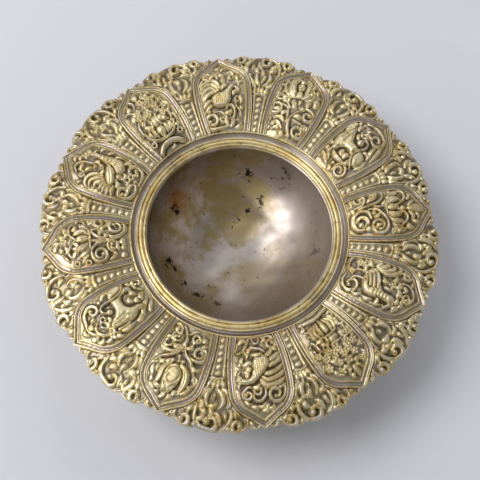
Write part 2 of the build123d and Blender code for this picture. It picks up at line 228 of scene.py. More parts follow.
# Worn gilding
giltLook = {
    "pale": tint(231, 215, 167),
    "warm": tint(202, 178, 118),
    "olive": tint(138, 120, 74),
    "bare": tint(206, 200, 192),           # silver where the gilding is rubbed through
    "lilac": tint(150, 134, 128),
    "soot": tint(60, 49, 28),              # dark in the hollows
    "patches": (48, 4),                    # noises: scale, detail, roughness
    "mottle": (260, 4),
    "cast": (33, 5, 0.65),
    "grain": (1500, 3),
    "warmAt": (0.35, 0.68),                # where on its noise a tint sets in, and how much of it
    "oliveAt": (0.48, 0.75, 0.0, 0.75),
    "lilacAt": (0.54, 0.7, 0.0, 0.5),
    "bareAt": (0.62, 0.4),
    "sootAt": (0.25, 1.1),
    "sootMottle": 0.5,
    "roughness": (0.3, 0.7, 0.4, 0.52),
    "sootRoughness": 0.3,
    "height": (0.7, 0.3),                  # shares of mottle and grain
}


def makeGiltWear(look):
    tree, given = lookGroup("giltWear", {"Hollow": 0.0, "Rubbed": 0.0})
    keys = ("patches", "mottle", "cast", "grain")
    patches, mottle, cast, grain = noisesOf(tree, given["Where"], look, keys)
    bare = calc(tree, "MULTIPLY", given["Rubbed"], spread(tree, mottle, *look["bareAt"]), True)
    uneven = calc(tree, "MULTIPLY", calc(tree, "SUBTRACT", mottle, 0.5), look["sootMottle"])
    soot = spread(tree, calc(tree, "ADD", given["Hollow"], uneven), *look["sootAt"])
    color = look["pale"]
    for share, key in ((spread(tree, patches, *look["warmAt"]), "warm"),
                       (spread(tree, mottle, *look["oliveAt"]), "olive"),
                       (spread(tree, cast, *look["lilacAt"]), "lilac"), (bare, "bare"), (soot, "soot")):
        color = blend(tree, share, color, look[key])
    rough = weighed(tree, spread(tree, patches, *look["roughness"]), 1.0, soot, look["sootRoughness"])
    height = weighed(tree, mottle, look["height"][0], grain, look["height"][1])
    addNode(tree, "NodeGroupOutput", {"Color": color, "Roughness": rough, "Height": height})
    return tree


# Tarnished silver
silverLook = {
    "bright": tint(188, 178, 172),
    "mauve": tint(162, 149, 143),
    "olive": tint(152, 134, 82),
    "dark": tint(36, 32, 27),
    "rust": tint(158, 104, 44),
    "clouds": (26, 5),
    "stains": (34, 9, 0.7),
    "pits": (150, 6, 0.7),
    "specks": (420, 4),
    "grain": (1700, 2),
    "mauveAt": (0.34, 0.66),
    "oliveAt": (0.43, 0.58, 0.0, 0.85),
    "rustAt": (0.25, 0.5, 0.0, 0.85),
    "pitsAt": (0.61, 0.69, 0.0, 0.8),
    "specksAt": (0.66, 0.78, 0.0, 0.8),
    "pitsGrow": 0.13,                      # by how much a pitted place lifts the noise
    "pitsShow": 0.3,                       # how dark pits are where nothing is stained
    "roughness": (0.3, 0.7, 0.4, 0.54),
    "hollowRoughness": 0.2,
    "height": (0.5, 0.5),                  # shares of specks and grain
}


def makeTarnish(look):
    tree, given = lookGroup("tarnish", {"Hollow": 0.0, "Stain": 0.5, "Pits": 0.0, "Rust": 0.0})
    keys = ("clouds", "stains", "pits", "specks", "grain")
    clouds, stains, pits, specks, grain = noisesOf(tree, given["Where"], look, keys)
    stained, hollow = given["Stain"], given["Hollow"]
    pitted = weighed(tree, pits, 1.0, given["Pits"], look["pitsGrow"])
    pitsShow = calc(tree, "ADD", stained, look["pitsShow"])
    color = blend(tree, spread(tree, clouds, *look["mauveAt"]), look["bright"], look["mauve"])
    for field, key, amount, shade in ((stains, "oliveAt", stained, "olive"),
                                      (specks, "rustAt", given["Rust"], "rust"),
                                      (pitted, "pitsAt", pitsShow, "dark"),
                                      (specks, "specksAt", stained, "dark")):
        share = calc(tree, "MULTIPLY", spread(tree, field, *look[key]), amount, True)
        color = blend(tree, share, color, look[shade])
    # this mark is patina in the recesses of the chased pieces, and painted shade on the bowl's upper wall on
    # the lamp's side
    color = blend(tree, hollow, color, look["dark"])
    rough = weighed(tree, spread(tree, stains, *look["roughness"]), 1.0, hollow, look["hollowRoughness"])
    height = weighed(tree, specks, look["height"][0], grain, look["height"][1])
    addNode(tree, "NodeGroupOutput", {"Color": color, "Roughness": rough, "Height": height})
    return tree


giltWear = makeGiltWear(giltLook)
tarnish = makeTarnish(silverLook)

metals = {
    "gilt": {"look": giltWear, "metallic": 0.92, "bump": 0.12},
    "silver": {"look": tarnish, "metallic": 0.9, "bump": 0.1},
    "bumpStrength": 0.35,
}


def newFinish(name, metal):
    finish = bpy.data.materials.new(name)
    finish.use_nodes = True
    tree = finish.node_tree
    shader = tree.nodes["Principled BSDF"].inputs
    shader["Metallic"].default_value = metal["metallic"]
    inputs = {"Strength": metals["bumpStrength"], "Distance": metal["bump"] * mm}
    bump = addNode(tree, "ShaderNodeBump", inputs)
    tree.links.new(bump.outputs["Normal"], shader["Normal"])
    where = addNode(tree, "ShaderNodeTexCoord").outputs["Object"]
    return finish, tree, shader, bump.inputs["Height"], where


def markOf(tree, label):
    return addNode(tree, "ShaderNodeAttribute", attribute_name=label).outputs["Fac"]


def useLook(tree, look, where, fixed=None):
    # a look's group, fed by the piece's own marks except where a value is fixed
    made = addNode(tree, "ShaderNodeGroup", node_tree=look)
    tree.links.new(where, made.inputs["Where"])
    for socket in made.inputs[1:]:
        if socket.name in (fixed or {}):
            socket.default_value = fixed[socket.name]
        else:
            tree.links.new(markOf(tree, socket.name.lower()), socket)
    return made.outputs


def plainFinish(name, metal):
    finish, tree, shader, height, where = newFinish(name, metal)
    given = useLook(tree, metal["look"], where)
    tree.links.new(given["Color"], shader["Base Color"])
    tree.links.new(given["Roughness"], shader["Roughness"])
    tree.links.new(given["Height"], height)
    return finish


# Gilt ribs and figures on tarnished silver ground, with a coloured sheen
sheens = {
    "petalGilt": {"lilac": tint(178, 162, 156), "green": tint(160, 150, 116), "roughness": 0.34},
    "crestGilt": {"lilac": tint(118, 106, 102), "green": tint(112, 106, 76), "roughness": 0.4},
    "noise": (70, 2),
    "greenAt": (0.4, 0.6),
    "share": 0.65,
    "soot": 0.8,
    "stain": 0.35,
}


def framedFinish(name):
    finish, tree, shader, height, where = newFinish(name, metals["gilt"])
    wear = useLook(tree, giltWear, where)
    film = useLook(tree, tarnish, where, {"Stain": sheens["stain"]})
    groove = markOf(tree, "groove")
    green = spread(tree, noiseAt(tree, where, *sheens["noise"]), *sheens["greenAt"])
    sheen = blend(tree, green, sheens[name]["lilac"], sheens[name]["green"])
    sheen = blend(tree, sheens["share"], film["Color"], sheen)
    sooty = calc(tree, "MULTIPLY", markOf(tree, "hollow"), sheens["soot"])
    sheen = blend(tree, sooty, sheen, giltLook["soot"])
    tree.links.new(blend(tree, groove, wear["Color"], sheen), shader["Base Color"])
    inputs = {0: groove, 2: wear["Roughness"], 3: sheens[name]["roughness"]}
    tree.links.new(addNode(tree, "ShaderNodeMix", inputs).outputs[0], shader["Roughness"])
    tree.links.new(wear["Height"], height)
    return finish


petalGilt = framedFinish("petalGilt")
rimGilt = plainFinish("rimGilt", metals["gilt"])
lipGilt = plainFinish("lipGilt", metals["gilt"])
crestGilt = framedFinish("crestGilt")
bowlSilver = plainFinish("bowlSilver", metals["silver"])
channelSilver = plainFinish("channelSilver", metals["silver"])
footSilver = plainFinish("footSilver", metals["silver"])
print("finishes made")


def trail(points):
    # points in mm, drawn as "x,y x,y" or given as pairs
    if isinstance(points, str):
        return [tuple(float(v) for v in pair.split(",")) for pair in points.split()]
    return list(points)


def smoothPath(points, closed=False, shift=(0, 0), step=0.4):
    # curve through all the points
    drawn = np.array(trail(points), float) + shift
    if closed:
        drawn = np.vstack([drawn[-1], drawn, drawn[:2]])
    else:
        drawn = np.vstack([2 * drawn[0] - drawn[1], drawn, 2 * drawn[-1] - drawn[-2]])
    runs = []
    for a, b, c, d in zip(drawn[:-3], drawn[1:-2], drawn[2:-1], drawn[3:]):
        count = max(2, int(np.hypot(*(c - b)) / step))
        t = np.linspace(0, 1, count, endpoint=False)[:, None]
        bend, twist = 2 * a - 5 * b + 4 * c - d, 3 * b - a - 3 * c + d
        runs.append(0.5 * (2 * b + (c - a) * t + bend * t ** 2 + twist * t ** 3))
    return np.vstack(runs + [drawn[-2:-1]])


# Strokes of the chasing: shares of a stroke's own width, height or length, and lengths in mm
stroke = {
    "fat": 0.62,               # half of a stroke's breadth, as a share of its width
    "moat": 0.7,               # mm round a new stroke where older relief is pressed down
    "pressed": 0.8,            # share of its height that it loses there
    "swell": 0.4,              # share of a vine's length over which it swells
    "thin": 0.55,              # share of its length after which it thins out
    "vineCrease": 0.3,         # breadth of the crease along a vine
    "scrollTaper": (0.55, 0.7),
    "scrollCrease": 0.22,
    "windIn": 0.66,            # share of its reach by which a scroll winds in
    "windSteps": 14,           # points in each turn
    "eye": 0.72,               # boss in a scroll's eye
    "leafEdge": 0.12,          # mm
    "leafCrease": 0.3,         # mm
    "veinDepth": 0.13,
    "veinLean": 0.8,
    "plumeVeins": 1.1,         # mm between the barbs of a feather
    "plumeCrease": 0.25,
    "scaleDepth": 0.12,
    "cutFade": 8,              # how quickly a chased line comes in at its ends
    "flowerReach": 0.62,
    "flowerPetal": (0.52, 0.4),
    "flowerHeart": 0.36,
    "flowerLow": 0.85,         # its petals' height beside the heart's
}


# Small leaves that fill bare ground
fillerLeaf = {
    "raised": 0.5, "bare": 0.3,            # mm of relief that counts as raised, and as bare
    "leastGround": 40,                     # grid points
    "tries": 160, "against": 4000,         # bare points tried, and raised ones they keep clear of
    "room": (1.3, 2.6),                    # mm round a leaf, least and most
    "bends": ((1.15, 0.0), (0.3, 1.6), (-1.15, 0.6)),      # reach by its room, and turn from its lean
    "width": 1.25, "height": (0.9, 0.35), "crease": 0.2,
}


class Chasing:
    # relief raised on a grid of points, in mm
    def __init__(self, x, y):
        self.x, self.y = x, y
        self.height = np.zeros_like(x)

    def press(self, where, edge, shape):
        # edge: distance outside the stroke, where what lies there already is pushed down
        held = self.height[where] * (1 - stroke["pressed"] * np.clip(1 - edge / stroke["moat"], 0, 1))
        self.height[where] = np.maximum(held, shape)

    def near(self, path, reach):
        # grid points round a path: gap to it, share along it, and the path's length
        low, high = path.min(0) - reach, path.max(0) + reach
        where = np.where((self.x > low[0]) & (self.x < high[0]) & (self.y > low[1]) & (self.y < high[1]))
        run = path[1:] - path[:-1]
        size = np.maximum((run ** 2).sum(1), 1e-9)
        dx = self.x[where][:, None] - path[:-1, 0]
        dy = self.y[where][:, None] - path[:-1, 1]
        share = np.clip((dx * run[:, 0] + dy * run[:, 1]) / size, 0, 1)
        gap = np.hypot(dx - share * run[:, 0], dy - share * run[:, 1])
        best = gap.argmin(1)
        row = np.arange(len(best))
        length = np.concatenate([[0], np.cumsum(np.sqrt(size))])
        along = (length[best] + share[row, best] * np.sqrt(size[best])) / length[-1]
        return where, gap[row, best], along, length[-1]

    def vine(self, width, height, points, taper=(0.7, 0.5), crease=0.0):
        where, gap, along, _ = self.near(smoothPath(points), width)
        swell = taper[0] + (1 - taper[0]) * np.minimum(1, along / stroke["swell"])
        thin = np.clip((along - stroke["thin"]) / (1 - stroke["thin"]), 0, 1)
        breadth = swell * (1 + (taper[1] - 1) * thin)
        half = stroke["fat"] * width * breadth
        shape = height * breadth ** 0.4 * np.maximum(0, 1 - (gap / half) ** 2) ** 0.45
        if crease:
            shape *= 1 - crease * np.exp(-(gap / (stroke["vineCrease"] * half)) ** 2)
        self.press(where, gap - half, shape)

    def scroll(self, width, height, tail, eye, turns):
        points = trail(tail)
        cx, cy = trail(eye)[0]
        x, y = points[-1]
        reach, start = math.hypot(x - cx, y - cy), math.atan2(y - cy, x - cx)
        steps = max(6, int(abs(turns) * stroke["windSteps"]))
        for k in range(1, steps + 1):
            far = reach * (1 - stroke["windIn"] * k / steps)
            angle = start + k / steps * turns * fullTurn
            points.append((cx + far * math.cos(angle), cy + far * math.sin(angle)))
        self.vine(width, height, points, stroke["scrollTaper"], stroke["scrollCrease"])
        bead = stroke["eye"] * width
        self.boss(*points[-1], bead, bead, 0, height)

    def leaf(self, width, height, points, veins=0.0, crease=0.3):
        where, gap, along, total = self.near(smoothPath(points), width)
        outline = np.sin(math.pi * np.clip(along, 0, 1) ** 0.8) ** 0.7
        half = stroke["fat"] * width * outline + stroke["leafEdge"]
        belly = 0.6 + 0.4 * np.sin(math.pi * np.clip(along, 0.05, 1))
        shape = height * np.clip(1 - (gap / half) ** 2, 0, 1) ** 0.5 * belly
        shape *= 1 - crease * np.exp(-(gap / stroke["leafCrease"]) ** 2)
        if veins:
            wave = fullTurn * (along * total - gap * stroke["veinLean"]) / veins
            shape *= 1 + stroke["veinDepth"] * np.cos(wave)
        self.press(where, gap - half, shape)

    def plume(self, width, height, points):
        self.leaf(width, height, points, stroke["plumeVeins"], stroke["plumeCrease"])

    def boss(self, cx, cy, rx, ry, lean, height):
        reach = max(rx, ry) + 1
        where = np.where((abs(self.x - cx) < reach) & (abs(self.y - cy) < reach))
        c, s = math.cos(math.radians(lean)), math.sin(math.radians(lean))
        dx, dy = self.x[where] - cx, self.y[where] - cy
        far = np.hypot((dx * c + dy * s) / rx, (dy * c - dx * s) / ry)
        self.press(where, (far - 1) * min(rx, ry), height * np.maximum(0, 1 - far ** 2) ** 0.5)

    def form(self, height, bevel, points, scales=0.0, shift=(0, 0)):
        # body blown up inside a drawn outline, rounded off over the bevel
        path = smoothPath(points, True, shift)
        where, gap, _, _ = self.near(path, 1.2)
        x, y = self.x[where], self.y[where]
        inside = np.zeros(x.shape, bool)
        for (ax, ay), (bx, by) in zip(path[:-1], path[1:]):
            if ay != by:
                inside ^= ((ay > y) != (by > y)) & (x < (bx - ax) * (y - ay) / (by - ay) + ax)
        share = np.clip(gap / bevel, 0, 1)
        shape = np.where(inside, height * (1 - (1 - share) ** 2) ** 0.5, 0)
        if scales:
            ripple = np.cos(math.pi * (x + y) / scales) * np.cos(math.pi * (x - y) / scales)
            shape *= 0.92 + stroke["scaleDepth"] * ripple
        self.press(where, np.where(inside, -1, gap), shape)

    def cut(self, depth, width, points, shift=(0, 0)):
        # chased line sunk into what is raised already
        where, gap, along, _ = self.near(smoothPath(points, False, shift), 2 * width)
        fade = np.clip(np.minimum(along, 1 - along) * stroke["cutFade"], 0, 1)
        self.height[where] *= 1 - depth * fade * np.exp(-(gap / width) ** 2)

    def ring(self, cx, cy, radius, width, height):
        angles = np.linspace(0, fullTurn, 25)
        line = [(cx + radius * math.cos(angle), cy + radius * math.sin(angle)) for angle in angles]
        self.vine(width, height, line, (1, 1))

    def flower(self, cx, cy, size, height, petals=5, turn=0.0):
        reach, heart = stroke["flowerReach"] * size, stroke["flowerHeart"] * size
        long, wide = (share * size for share in stroke["flowerPetal"])
        for k in range(petals):
            angle = fullTurn * (k + turn) / petals
            x, y = cx + reach * math.cos(angle), cy + reach * math.sin(angle)
            self.boss(x, y, long, wide, math.degrees(angle), stroke["flowerLow"] * height)
        self.boss(cx, cy, heart, heart, 0, height)

    def filler(self, inside, seed, count):
        # small leaves wherever ground is still bare
        leaf = fillerLeaf
        rng = np.random.default_rng(seed)
        for _ in range(count):
            high = np.where((self.height > leaf["raised"]) | ~inside)
            bare = np.where((self.height < leaf["bare"]) & inside)
            if len(bare[0]) < leaf["leastGround"]:
                break
            pick = rng.permutation(len(bare[0]))[:leaf["tries"]]
            some = rng.permutation(len(high[0]))[:leaf["against"]]
            x, y = self.x[bare][pick], self.y[bare][pick]
            dx, dy = x[:, None] - self.x[high][some], y[:, None] - self.y[high][some]
            gap = np.sqrt((dx ** 2 + dy ** 2).min(1))
            best = gap.argmax()
            room = min(gap[best], leaf["room"][1])
            if room < leaf["room"][0]:
                break
            cx, cy = x[best], y[best]
            # neighbours lean alike
            lean = 2.2 * math.sin(cx / 9 + seed) + 1.8 * math.cos(cy / 8 + 2 * seed)
            points = [(cx + far * room * math.cos(lean + turn), cy + far * room * math.sin(lean + turn))
                      for far, turn in leaf["bends"]]
            height = leaf["height"][0] + leaf["height"][1] * room
            self.leaf(leaf["width"] * room, height, np.round(points, 2), 0, leaf["crease"])


def lionBody(work, at):
    # standing lion that looks left: body in one, then mane, flank and face chased in
    work.form(3.2, 2.6, "-9.4,118 -5.2,114 -2,108.4 1.4,105.4 6,104.8 11,104.6 15.4,103 18,98.6 "
                        "16.6,93.6 13,91 10.6,87.8 7.4,88 8.2,91.6 7.8,95.6 4,97.6 0,97.4 -2.4,94.6 "
                        "-3.2,90 -5,86 -8,86.4 -7.4,91 -9.6,95 -11,100 -10.8,106 -13,109.6 -15.8,111.8 "
                        "-14.6,115.6 -12,117.6", 0, at)
    for line in ("-6.4,114.6 -7.6,108 -6.6,100", "-4,111.6 -5,105 -3.8,98.4", "-9.2,113 -9.8,106.6 -8.6,99"):
        work.cut(0.3, 0.5, line, at)
    work.cut(0.35, 0.6, "9.4,103 8.6,98.6 10.4,94.6 13.4,92.6", at)
    work.cut(0.4, 0.5, "-15.4,112.6 -13.4,113 -12,112.4", at)
    work.boss(-12.4 + at[0], 115 + at[1], 0.8, 0.7, 0, 3.5)


def bunch(work, size, turn, points):
    # flowers of several sizes, with five or six petals
    for k, (x, y) in enumerate(trail(points)):
        work.flower(x, y, size + 0.4 * (k % 3), 2.2 + 0.3 * (k % 2), 5 + k % 2, turn * k)


def raisedWingBird(work):
    work.scroll(2.6, 2.4, "2,82 -2,80.8 -8,80.2", "-9.8,86", -1.25)
    work.scroll(1.8, 2.0, "-7,92.6 -3,92 0,89", "-2.2,87", -1.0)
    work.boss(-11.6, 93, 1.8, 1.7, 0, 2.2)
    work.leaf(2.2, 2.0, "0,88 0.6,84 3,80.5")
    work.leaf(2.4, 2.2, "6.8,86.5 5,84 3.4,80.5")
    work.vine(2.0, 2.4, "1.6,95 3.4,97 6,96.2 7.3,92.6 6.4,88.6 5.2,86.5", (0.6, 0.7))
    work.boss(9, 85.6, 1.4, 1.2, 0, 1.6)
    work.boss(12.4, 94.6, 1.6, 2.0, 0, 1.8)
    work.ring(10.2, 101.6, 1.9, 1.5, 2.0)
    work.vine(1.5, 1.8, "8.5,98.5 9,95.5 11,92.5 11.5,89")
    work.leaf(2.4, 1.8, "12,105 13.4,101 12.5,98")
    for points in ("-3,109 -3.6,115.5 -7.5,118.4 -13,116.6 -17.3,110.5",
                   "-3.6,108.6 -5.6,113.6 -10,114.8 -15,110.6 -18,105.2",
                   "-4.4,108 -8.2,111.6 -12,110.6 -15.6,106 -17.2,102",
                   "-5,106.8 -9,107.9 -12.6,105.4 -15.6,100.8"):
        work.plume(3.3, 2.2, points)
    work.leaf(3.4, 2.2, "-6,101.6 -11,100.8 -15,97.2 -17.2,93.4", 1.2)
    work.leaf(2.6, 1.9, "-7,99 -11,96.6 -14.6,92.8", 1.2)
    work.form(3.2, 2.6, "-9.4,101 -7.4,97 -2,95.4 3,97.4 5.4,102 6.4,107 8.6,110.4 10,112.6 8.4,115 "
                        "5.6,114.4 3,111 -0.4,108.4 -5,107.4 -8.6,104.6", 1.5)
    work.leaf(2.0, 2.5, "8.8,112.4 11,110.6 13,107.4")
    work.scroll(1.6, 1.9, "-6,121 -9.5,125.4 -12.6,124.6", "-11,122.4", 0.9)
    work.leaf(3.0, 2.0, "-9,120 -6,123.4 -4.6,127.6")
    work.leaf(2.4, 2.0, "-2.4,119.5 -3.2,124 0,127.6")
    work.leaf(2.6, 1.9, "0.5,126.8 2.8,129.4 5.4,127.4")
    work.scroll(1.6, 2.2, "5.4,117.6 5.2,121 8,122.9", "7.3,120.4", -0.8)
    work.leaf(2.2, 1.9, "4.4,124.6 8.4,125.4 10.4,121.4")
    work.leaf(1.8, 1.6, "-13.6,120.6 -15.8,117.4 -17.4,114.4")
    work.leaf(2.0, 1.8, "10.6,119 12.8,116.4 12.4,112.8")


def blownLotus(work):
    work.vine(1.9, 2.4, "2.4,81.6 -0.4,88 -2.4,95 -4.8,101 -10,103.4")
    work.scroll(2.1, 2.3, "-3.2,102 -8,106.4 -14,106.2", "-13.2,99.6", 1.3)
    work.vine(1.4, 1.8, "-1,94 1.4,98.4 4,102 7,104.6")
    work.scroll(2.1, 2.3, "4,105 8.4,106 12.4,105.4", "11.6,100.4", -1.1)
    work.vine(2.6, 2.6, "-0.4,94 0,89 1.8,84.4 4.2,81.2", (0.6, 0.6))
    work.scroll(2.1, 2.4, "2,94 4.6,93.4 9,92.8", "8.8,86.8", -1.45)
    work.scroll(1.4, 1.8, "14.5,88.6 14.4,92 12.2,93", "12.2,91", 0.8)
    work.leaf(2.8, 2.4, "-3,84.4 -8,88.4 -11.6,88.6")
    work.leaf(2.6, 2.4, "-3.6,82.4 -7,84.6 -10.4,82.6")
    work.leaf(2.6, 2.2, "-3,89.8 -7,92.8 -11.8,91.8")
    work.boss(-12.4, 83, 2.2, 1.9, 0, 2.0)
    work.leaf(2.2, 1.9, "-14.8,92 -13.8,88.6 -14.6,85.4")
    work.boss(-17, 113.8, 2.8, 4.8, 10, 2.0)
    work.vine(1.7, 2.1, "-18.4,118.4 -15,120 -12.8,117 -13,112 -14.6,108.4 -18,106.4")
    work.leaf(5.2, 2.5, "-1.6,111.6 -8.4,114.6 -12,119.8 -13,126")
    work.leaf(4.4, 2.3, "4.6,112.2 9.4,115.6 13.4,118.4 16.4,118.8")
    work.leaf(5.8, 2.8, "-0.6,111.8 -6.6,116.4 -8.2,123.6 -4.2,131")
    work.leaf(5.8, 2.8, "2.6,111.8 5.4,117 5,124.6 0.8,131.6")
    work.leaf(4.6, 2.6, "0.8,111.6 -0.4,115 -1.8,119")
    work.boss(-1.6, 121.6, 3.2, 3.8, 12, 2.9)
    work.ring(-2, 121.6, 1.7, 0.9, 3.4)
    work.ring(8.4, 120.2, 1.7, 1.3, 2.0)
    work.leaf(2.4, 1.9, "6.6,123 7.6,126.2 6.4,129.6")
    work.boss(13.8, 113.2, 2.8, 4.2, 15, 2.1)
    work.leaf(2.0, 1.8, "-5,111 -6.4,108.6 -5.4,105.8")
    work.boss(-2.4, 107.8, 1.8, 2.2, 0, 2.0)
    work.boss(2.4, 109, 1.7, 2.0, 0, 2.0)
    work.boss(6.2, 104.6, 2.2, 1.7, 0, 2.0)


def leftLion(work):
    work.scroll(2.0, 2.3, "2.4,81.6 2,86.4 4.6,89.6", "6.6,84.8", -1.3)
    work.leaf(3.2, 2.2, "-15.4,91.4 -10,88.4 -4,82.2", 1.4)
    work.leaf(3.0, 2.2, "-14.4,86.4 -9,84 -2.6,81", 1.4)
    work.boss(-13, 82, 2.4, 1.9, 0, 1.9)
    work.boss(-1, 85.4, 2.0, 1.6, 30, 1.8)
    work.vine(2.0, 1.9, "-16.4,96 -12,95 -8,94.6")
    lionBody(work, (-4.4, 1.6))
    work.leaf(3.4, 2.4, "-9,91.6 -3,89.6 4.4,91")
    work.vine(1.6, 3.3, "10.2,91.6 5.6,95.6 3.2,100 4,105 5.6,110 4.6,113.6 1.6,114.5 -0.6,113.2",
              (0.8, 0.8))
    work.boss(-0.4, 110.6, 2.8, 2.9, 0, 2.7)
    work.leaf(2.0, 2.2, "-7,118 -4.6,116.2 -2.6,115")
    work.leaf(2.2, 2.0, "-11.4,120.6 -13.6,123.4 -12.4,126")
    work.ring(-15, 118.4, 1.5, 1.2, 1.6)
    work.scroll(2.3, 2.4, "-9.6,126.4 -4,129 2,129.4 7,127.4", "5.4,121.8", -1.15)
    work.boss(-5, 123.6, 2.6, 1.9, -20, 2.1)
    work.leaf(2.2, 1.9, "-4.4,121 -2.4,124.4 0,126.2")
    work.leaf(2.8, 2.1, "11.2,122.6 13.4,115 15.2,107.2", 1.3)
    work.leaf(3.0, 2.2, "9.4,117.6 10,112.4 12.6,106", 1.3)
    work.leaf(2.2, 1.8, "13.4,104.4 14.4,99 12.6,94")


def openLotus(work):
    work.vine(1.9, 2.3, "1,80.8 -4,86 -6.4,93 -8,99.6 -12,103.9 -17,103.4 -19.4,99.6")
    work.boss(-14.4, 97.6, 4.0, 3.4, 0, 2.4)
    work.ring(-14.6, 97.6, 2.4, 1.2, 2.7)
    work.scroll(2.3, 2.4, "-3.6,93 -3,98.4 1,102.4 6,104.8 10,105", "9.2,98.8", -1.4)
    work.scroll(3.4, 2.8, "3.4,93.6 -1.4,92 -2.6,86.6 0,82 5,80.4", "5.4,86.4", 1.2)
    work.boss(10.6, 91, 2.4, 2.4, 0, 2.0)
    work.scroll(2.1, 2.3, "-5.6,83 -7.6,89.2 -11.6,91", "-11.4,86.6", 1.1)
    work.boss(-16.2, 87, 1.7, 2.3, 0, 1.9)
    work.leaf(2.2, 1.9, "-16.4,82.8 -12,81 -8,82")
    work.vine(1.7, 2.4, "-17,110 -12,108 -6,106 0,105.6 5,107.4 9.4,110.8", (0.7, 0.7))
    work.leaf(3.8, 2.2, "-7.6,107.4 -13,110.8 -15.8,116.8")
    work.leaf(3.4, 2.2, "5.4,108.6 10.6,111.4 12.6,116")
    work.leaf(4.4, 2.4, "-5.4,106.8 -9.4,111 -8.8,117")
    work.leaf(4.2, 2.4, "2.6,107 7,111 7.6,116.6")
    work.leaf(4.2, 2.6, "0,106.4 2.6,111 1.4,117")
    work.leaf(4.6, 2.6, "-2.8,106.2 -3.4,110.6 -2.6,115")
    work.vine(2.1, 2.6, "-16.4,117 -13.4,119.8 -9.4,119.4 -6.2,116 -4.6,112.4", (0.7, 0.6))
    work.vine(2.1, 2.6, "10,115.6 7.4,118.8 4,119.6 0.8,117.6 -1.4,114.2", (0.7, 0.6))
    work.leaf(5.6, 2.6, "-2,120.4 -1.8,127 -0.6,134.4")
    work.leaf(2.6, 2.1, "-3.2,121.6 -6.4,124.4 -8,127.4")
    work.leaf(2.6, 2.1, "0.4,121.6 4,124.2 8.4,123.8")
    work.leaf(2.2, 2.0, "1.4,126.4 4.4,128.4 6.6,127.4")
    work.leaf(2.2, 1.9, "-8.6,121.6 -11.4,123.6 -13.6,123")
    work.leaf(3.0, 2.1, "13,107.6 14.4,113 13.2,118.6")
    work.boss(15.2, 109, 1.5, 1.8, 0, 1.7)
    work.vine(1.5, 1.9, "-18.6,113.6 -17.4,117.4 -18,120.4")
    work.vine(1.6, 2.0, "-4.8,104.4 -4.6,100.6 -5.4,97.4")


def standingGoose(work):
    work.vine(2.3, 2.4, "-16.4,88.4 -14.4,82.6 -9,80 -3,81.4 -0.8,84.8", (0.6, 0.6))
    work.scroll(2.0, 2.2, "-16.6,90.4 -12.6,90.6 -9.4,88.6", "-11.6,87.4", -0.8)
    work.vine(1.5, 1.9, "-10.4,84.6 -7,86.8 -4.6,86.2")
    work.scroll(2.4, 2.5, "0.6,80.8 5,79.8 9.4,81.4 11.8,85.4", "6.6,86.2", 0.9)
    work.boss(9.6, 90, 1.6, 1.3, 0, 1.9)
    work.leaf(2.6, 2.5, "12,104 13.6,99.6 12,95.6")
    work.leaf(2.2, 2.1, "10.4,95.4 13,92 11.8,88.6")
    work.plume(3.5, 2.3, "-9.6,100.6 -9.4,108 -12,113.8 -16,115.6 -19.6,113")
    work.plume(3.3, 2.3, "-10.4,100 -11.8,107 -14.4,110.8 -18.8,110.2")
    work.plume(3.0, 2.1, "-10.8,99.6 -13.6,104.6 -16.4,106.6 -19,105")
    work.plume(2.6, 1.9, "-11.4,98.4 -14.6,101 -17.8,101")
    work.form(3.2, 2.8, "-10.4,99.6 -6,103.6 0,106 3.8,108.6 4.6,112.6 4.8,116.4 7.6,119.2 11.4,118.6 "
                        "14,116 16.6,112 14,112 11.4,114 10.4,110.6 10.4,106 11,101 9,95.6 4,92.6 "
                        "-2,92.4 -7.4,95", 0)
    work.plume(2.8, 3.3, "5,99.2 -1,97.8 -7,94.4")
    work.plume(2.8, 3.4, "4.6,102 -2,100.4 -9.2,96.6")
    work.plume(2.8, 3.5, "4.6,104.8 -2,103.2 -10,99.2")
    work.boss(9.8, 116.6, 0.9, 0.8, 0, 3.7)
    for y in (103.6, 106, 108.4, 110.8, 113.2):
        work.cut(0.22, 0.35, f"4.8,{y} 7.4,{y - 0.9:.1f} 10.2,{y}")
    work.boss(7, 119.9, 3.0, 1.7, 0, 2.5)
    work.vine(1.5, 2.1, "13.2,111.6 15,107.2 14.6,103")
    work.vine(1.8, 2.2, "-4.8,94.4 -5,89.6 -4.6,86.8 -2,85", (1, 0.6))
    work.vine(1.9, 2.3, "0.6,93.4 0.5,88.4 1.4,86 4,84.6", (1, 0.6))
    work.scroll(2.0, 2.3, "-6.4,118.6 -7.2,124 -4,128.8 0,130.4 4,128.8", "2.2,126", -1.15)
    work.scroll(1.9, 2.1, "-14,117.6 -16.4,120.4 -15,124", "-13.2,121.2", -1.0)
    work.boss(-9, 127, 2.2, 1.8, 20, 1.9)
    work.flower(-3, 113.8, 2.6, 2.0)
    work.leaf(2.2, 1.9, "-5,121 -3.2,124 -0.6,122")
    work.leaf(2.2, 1.8, "4.6,122.8 8.6,123.6 10.6,121")
    work.leaf(1.8, 1.7, "0.4,108.6 1.4,112.4 0.4,117")


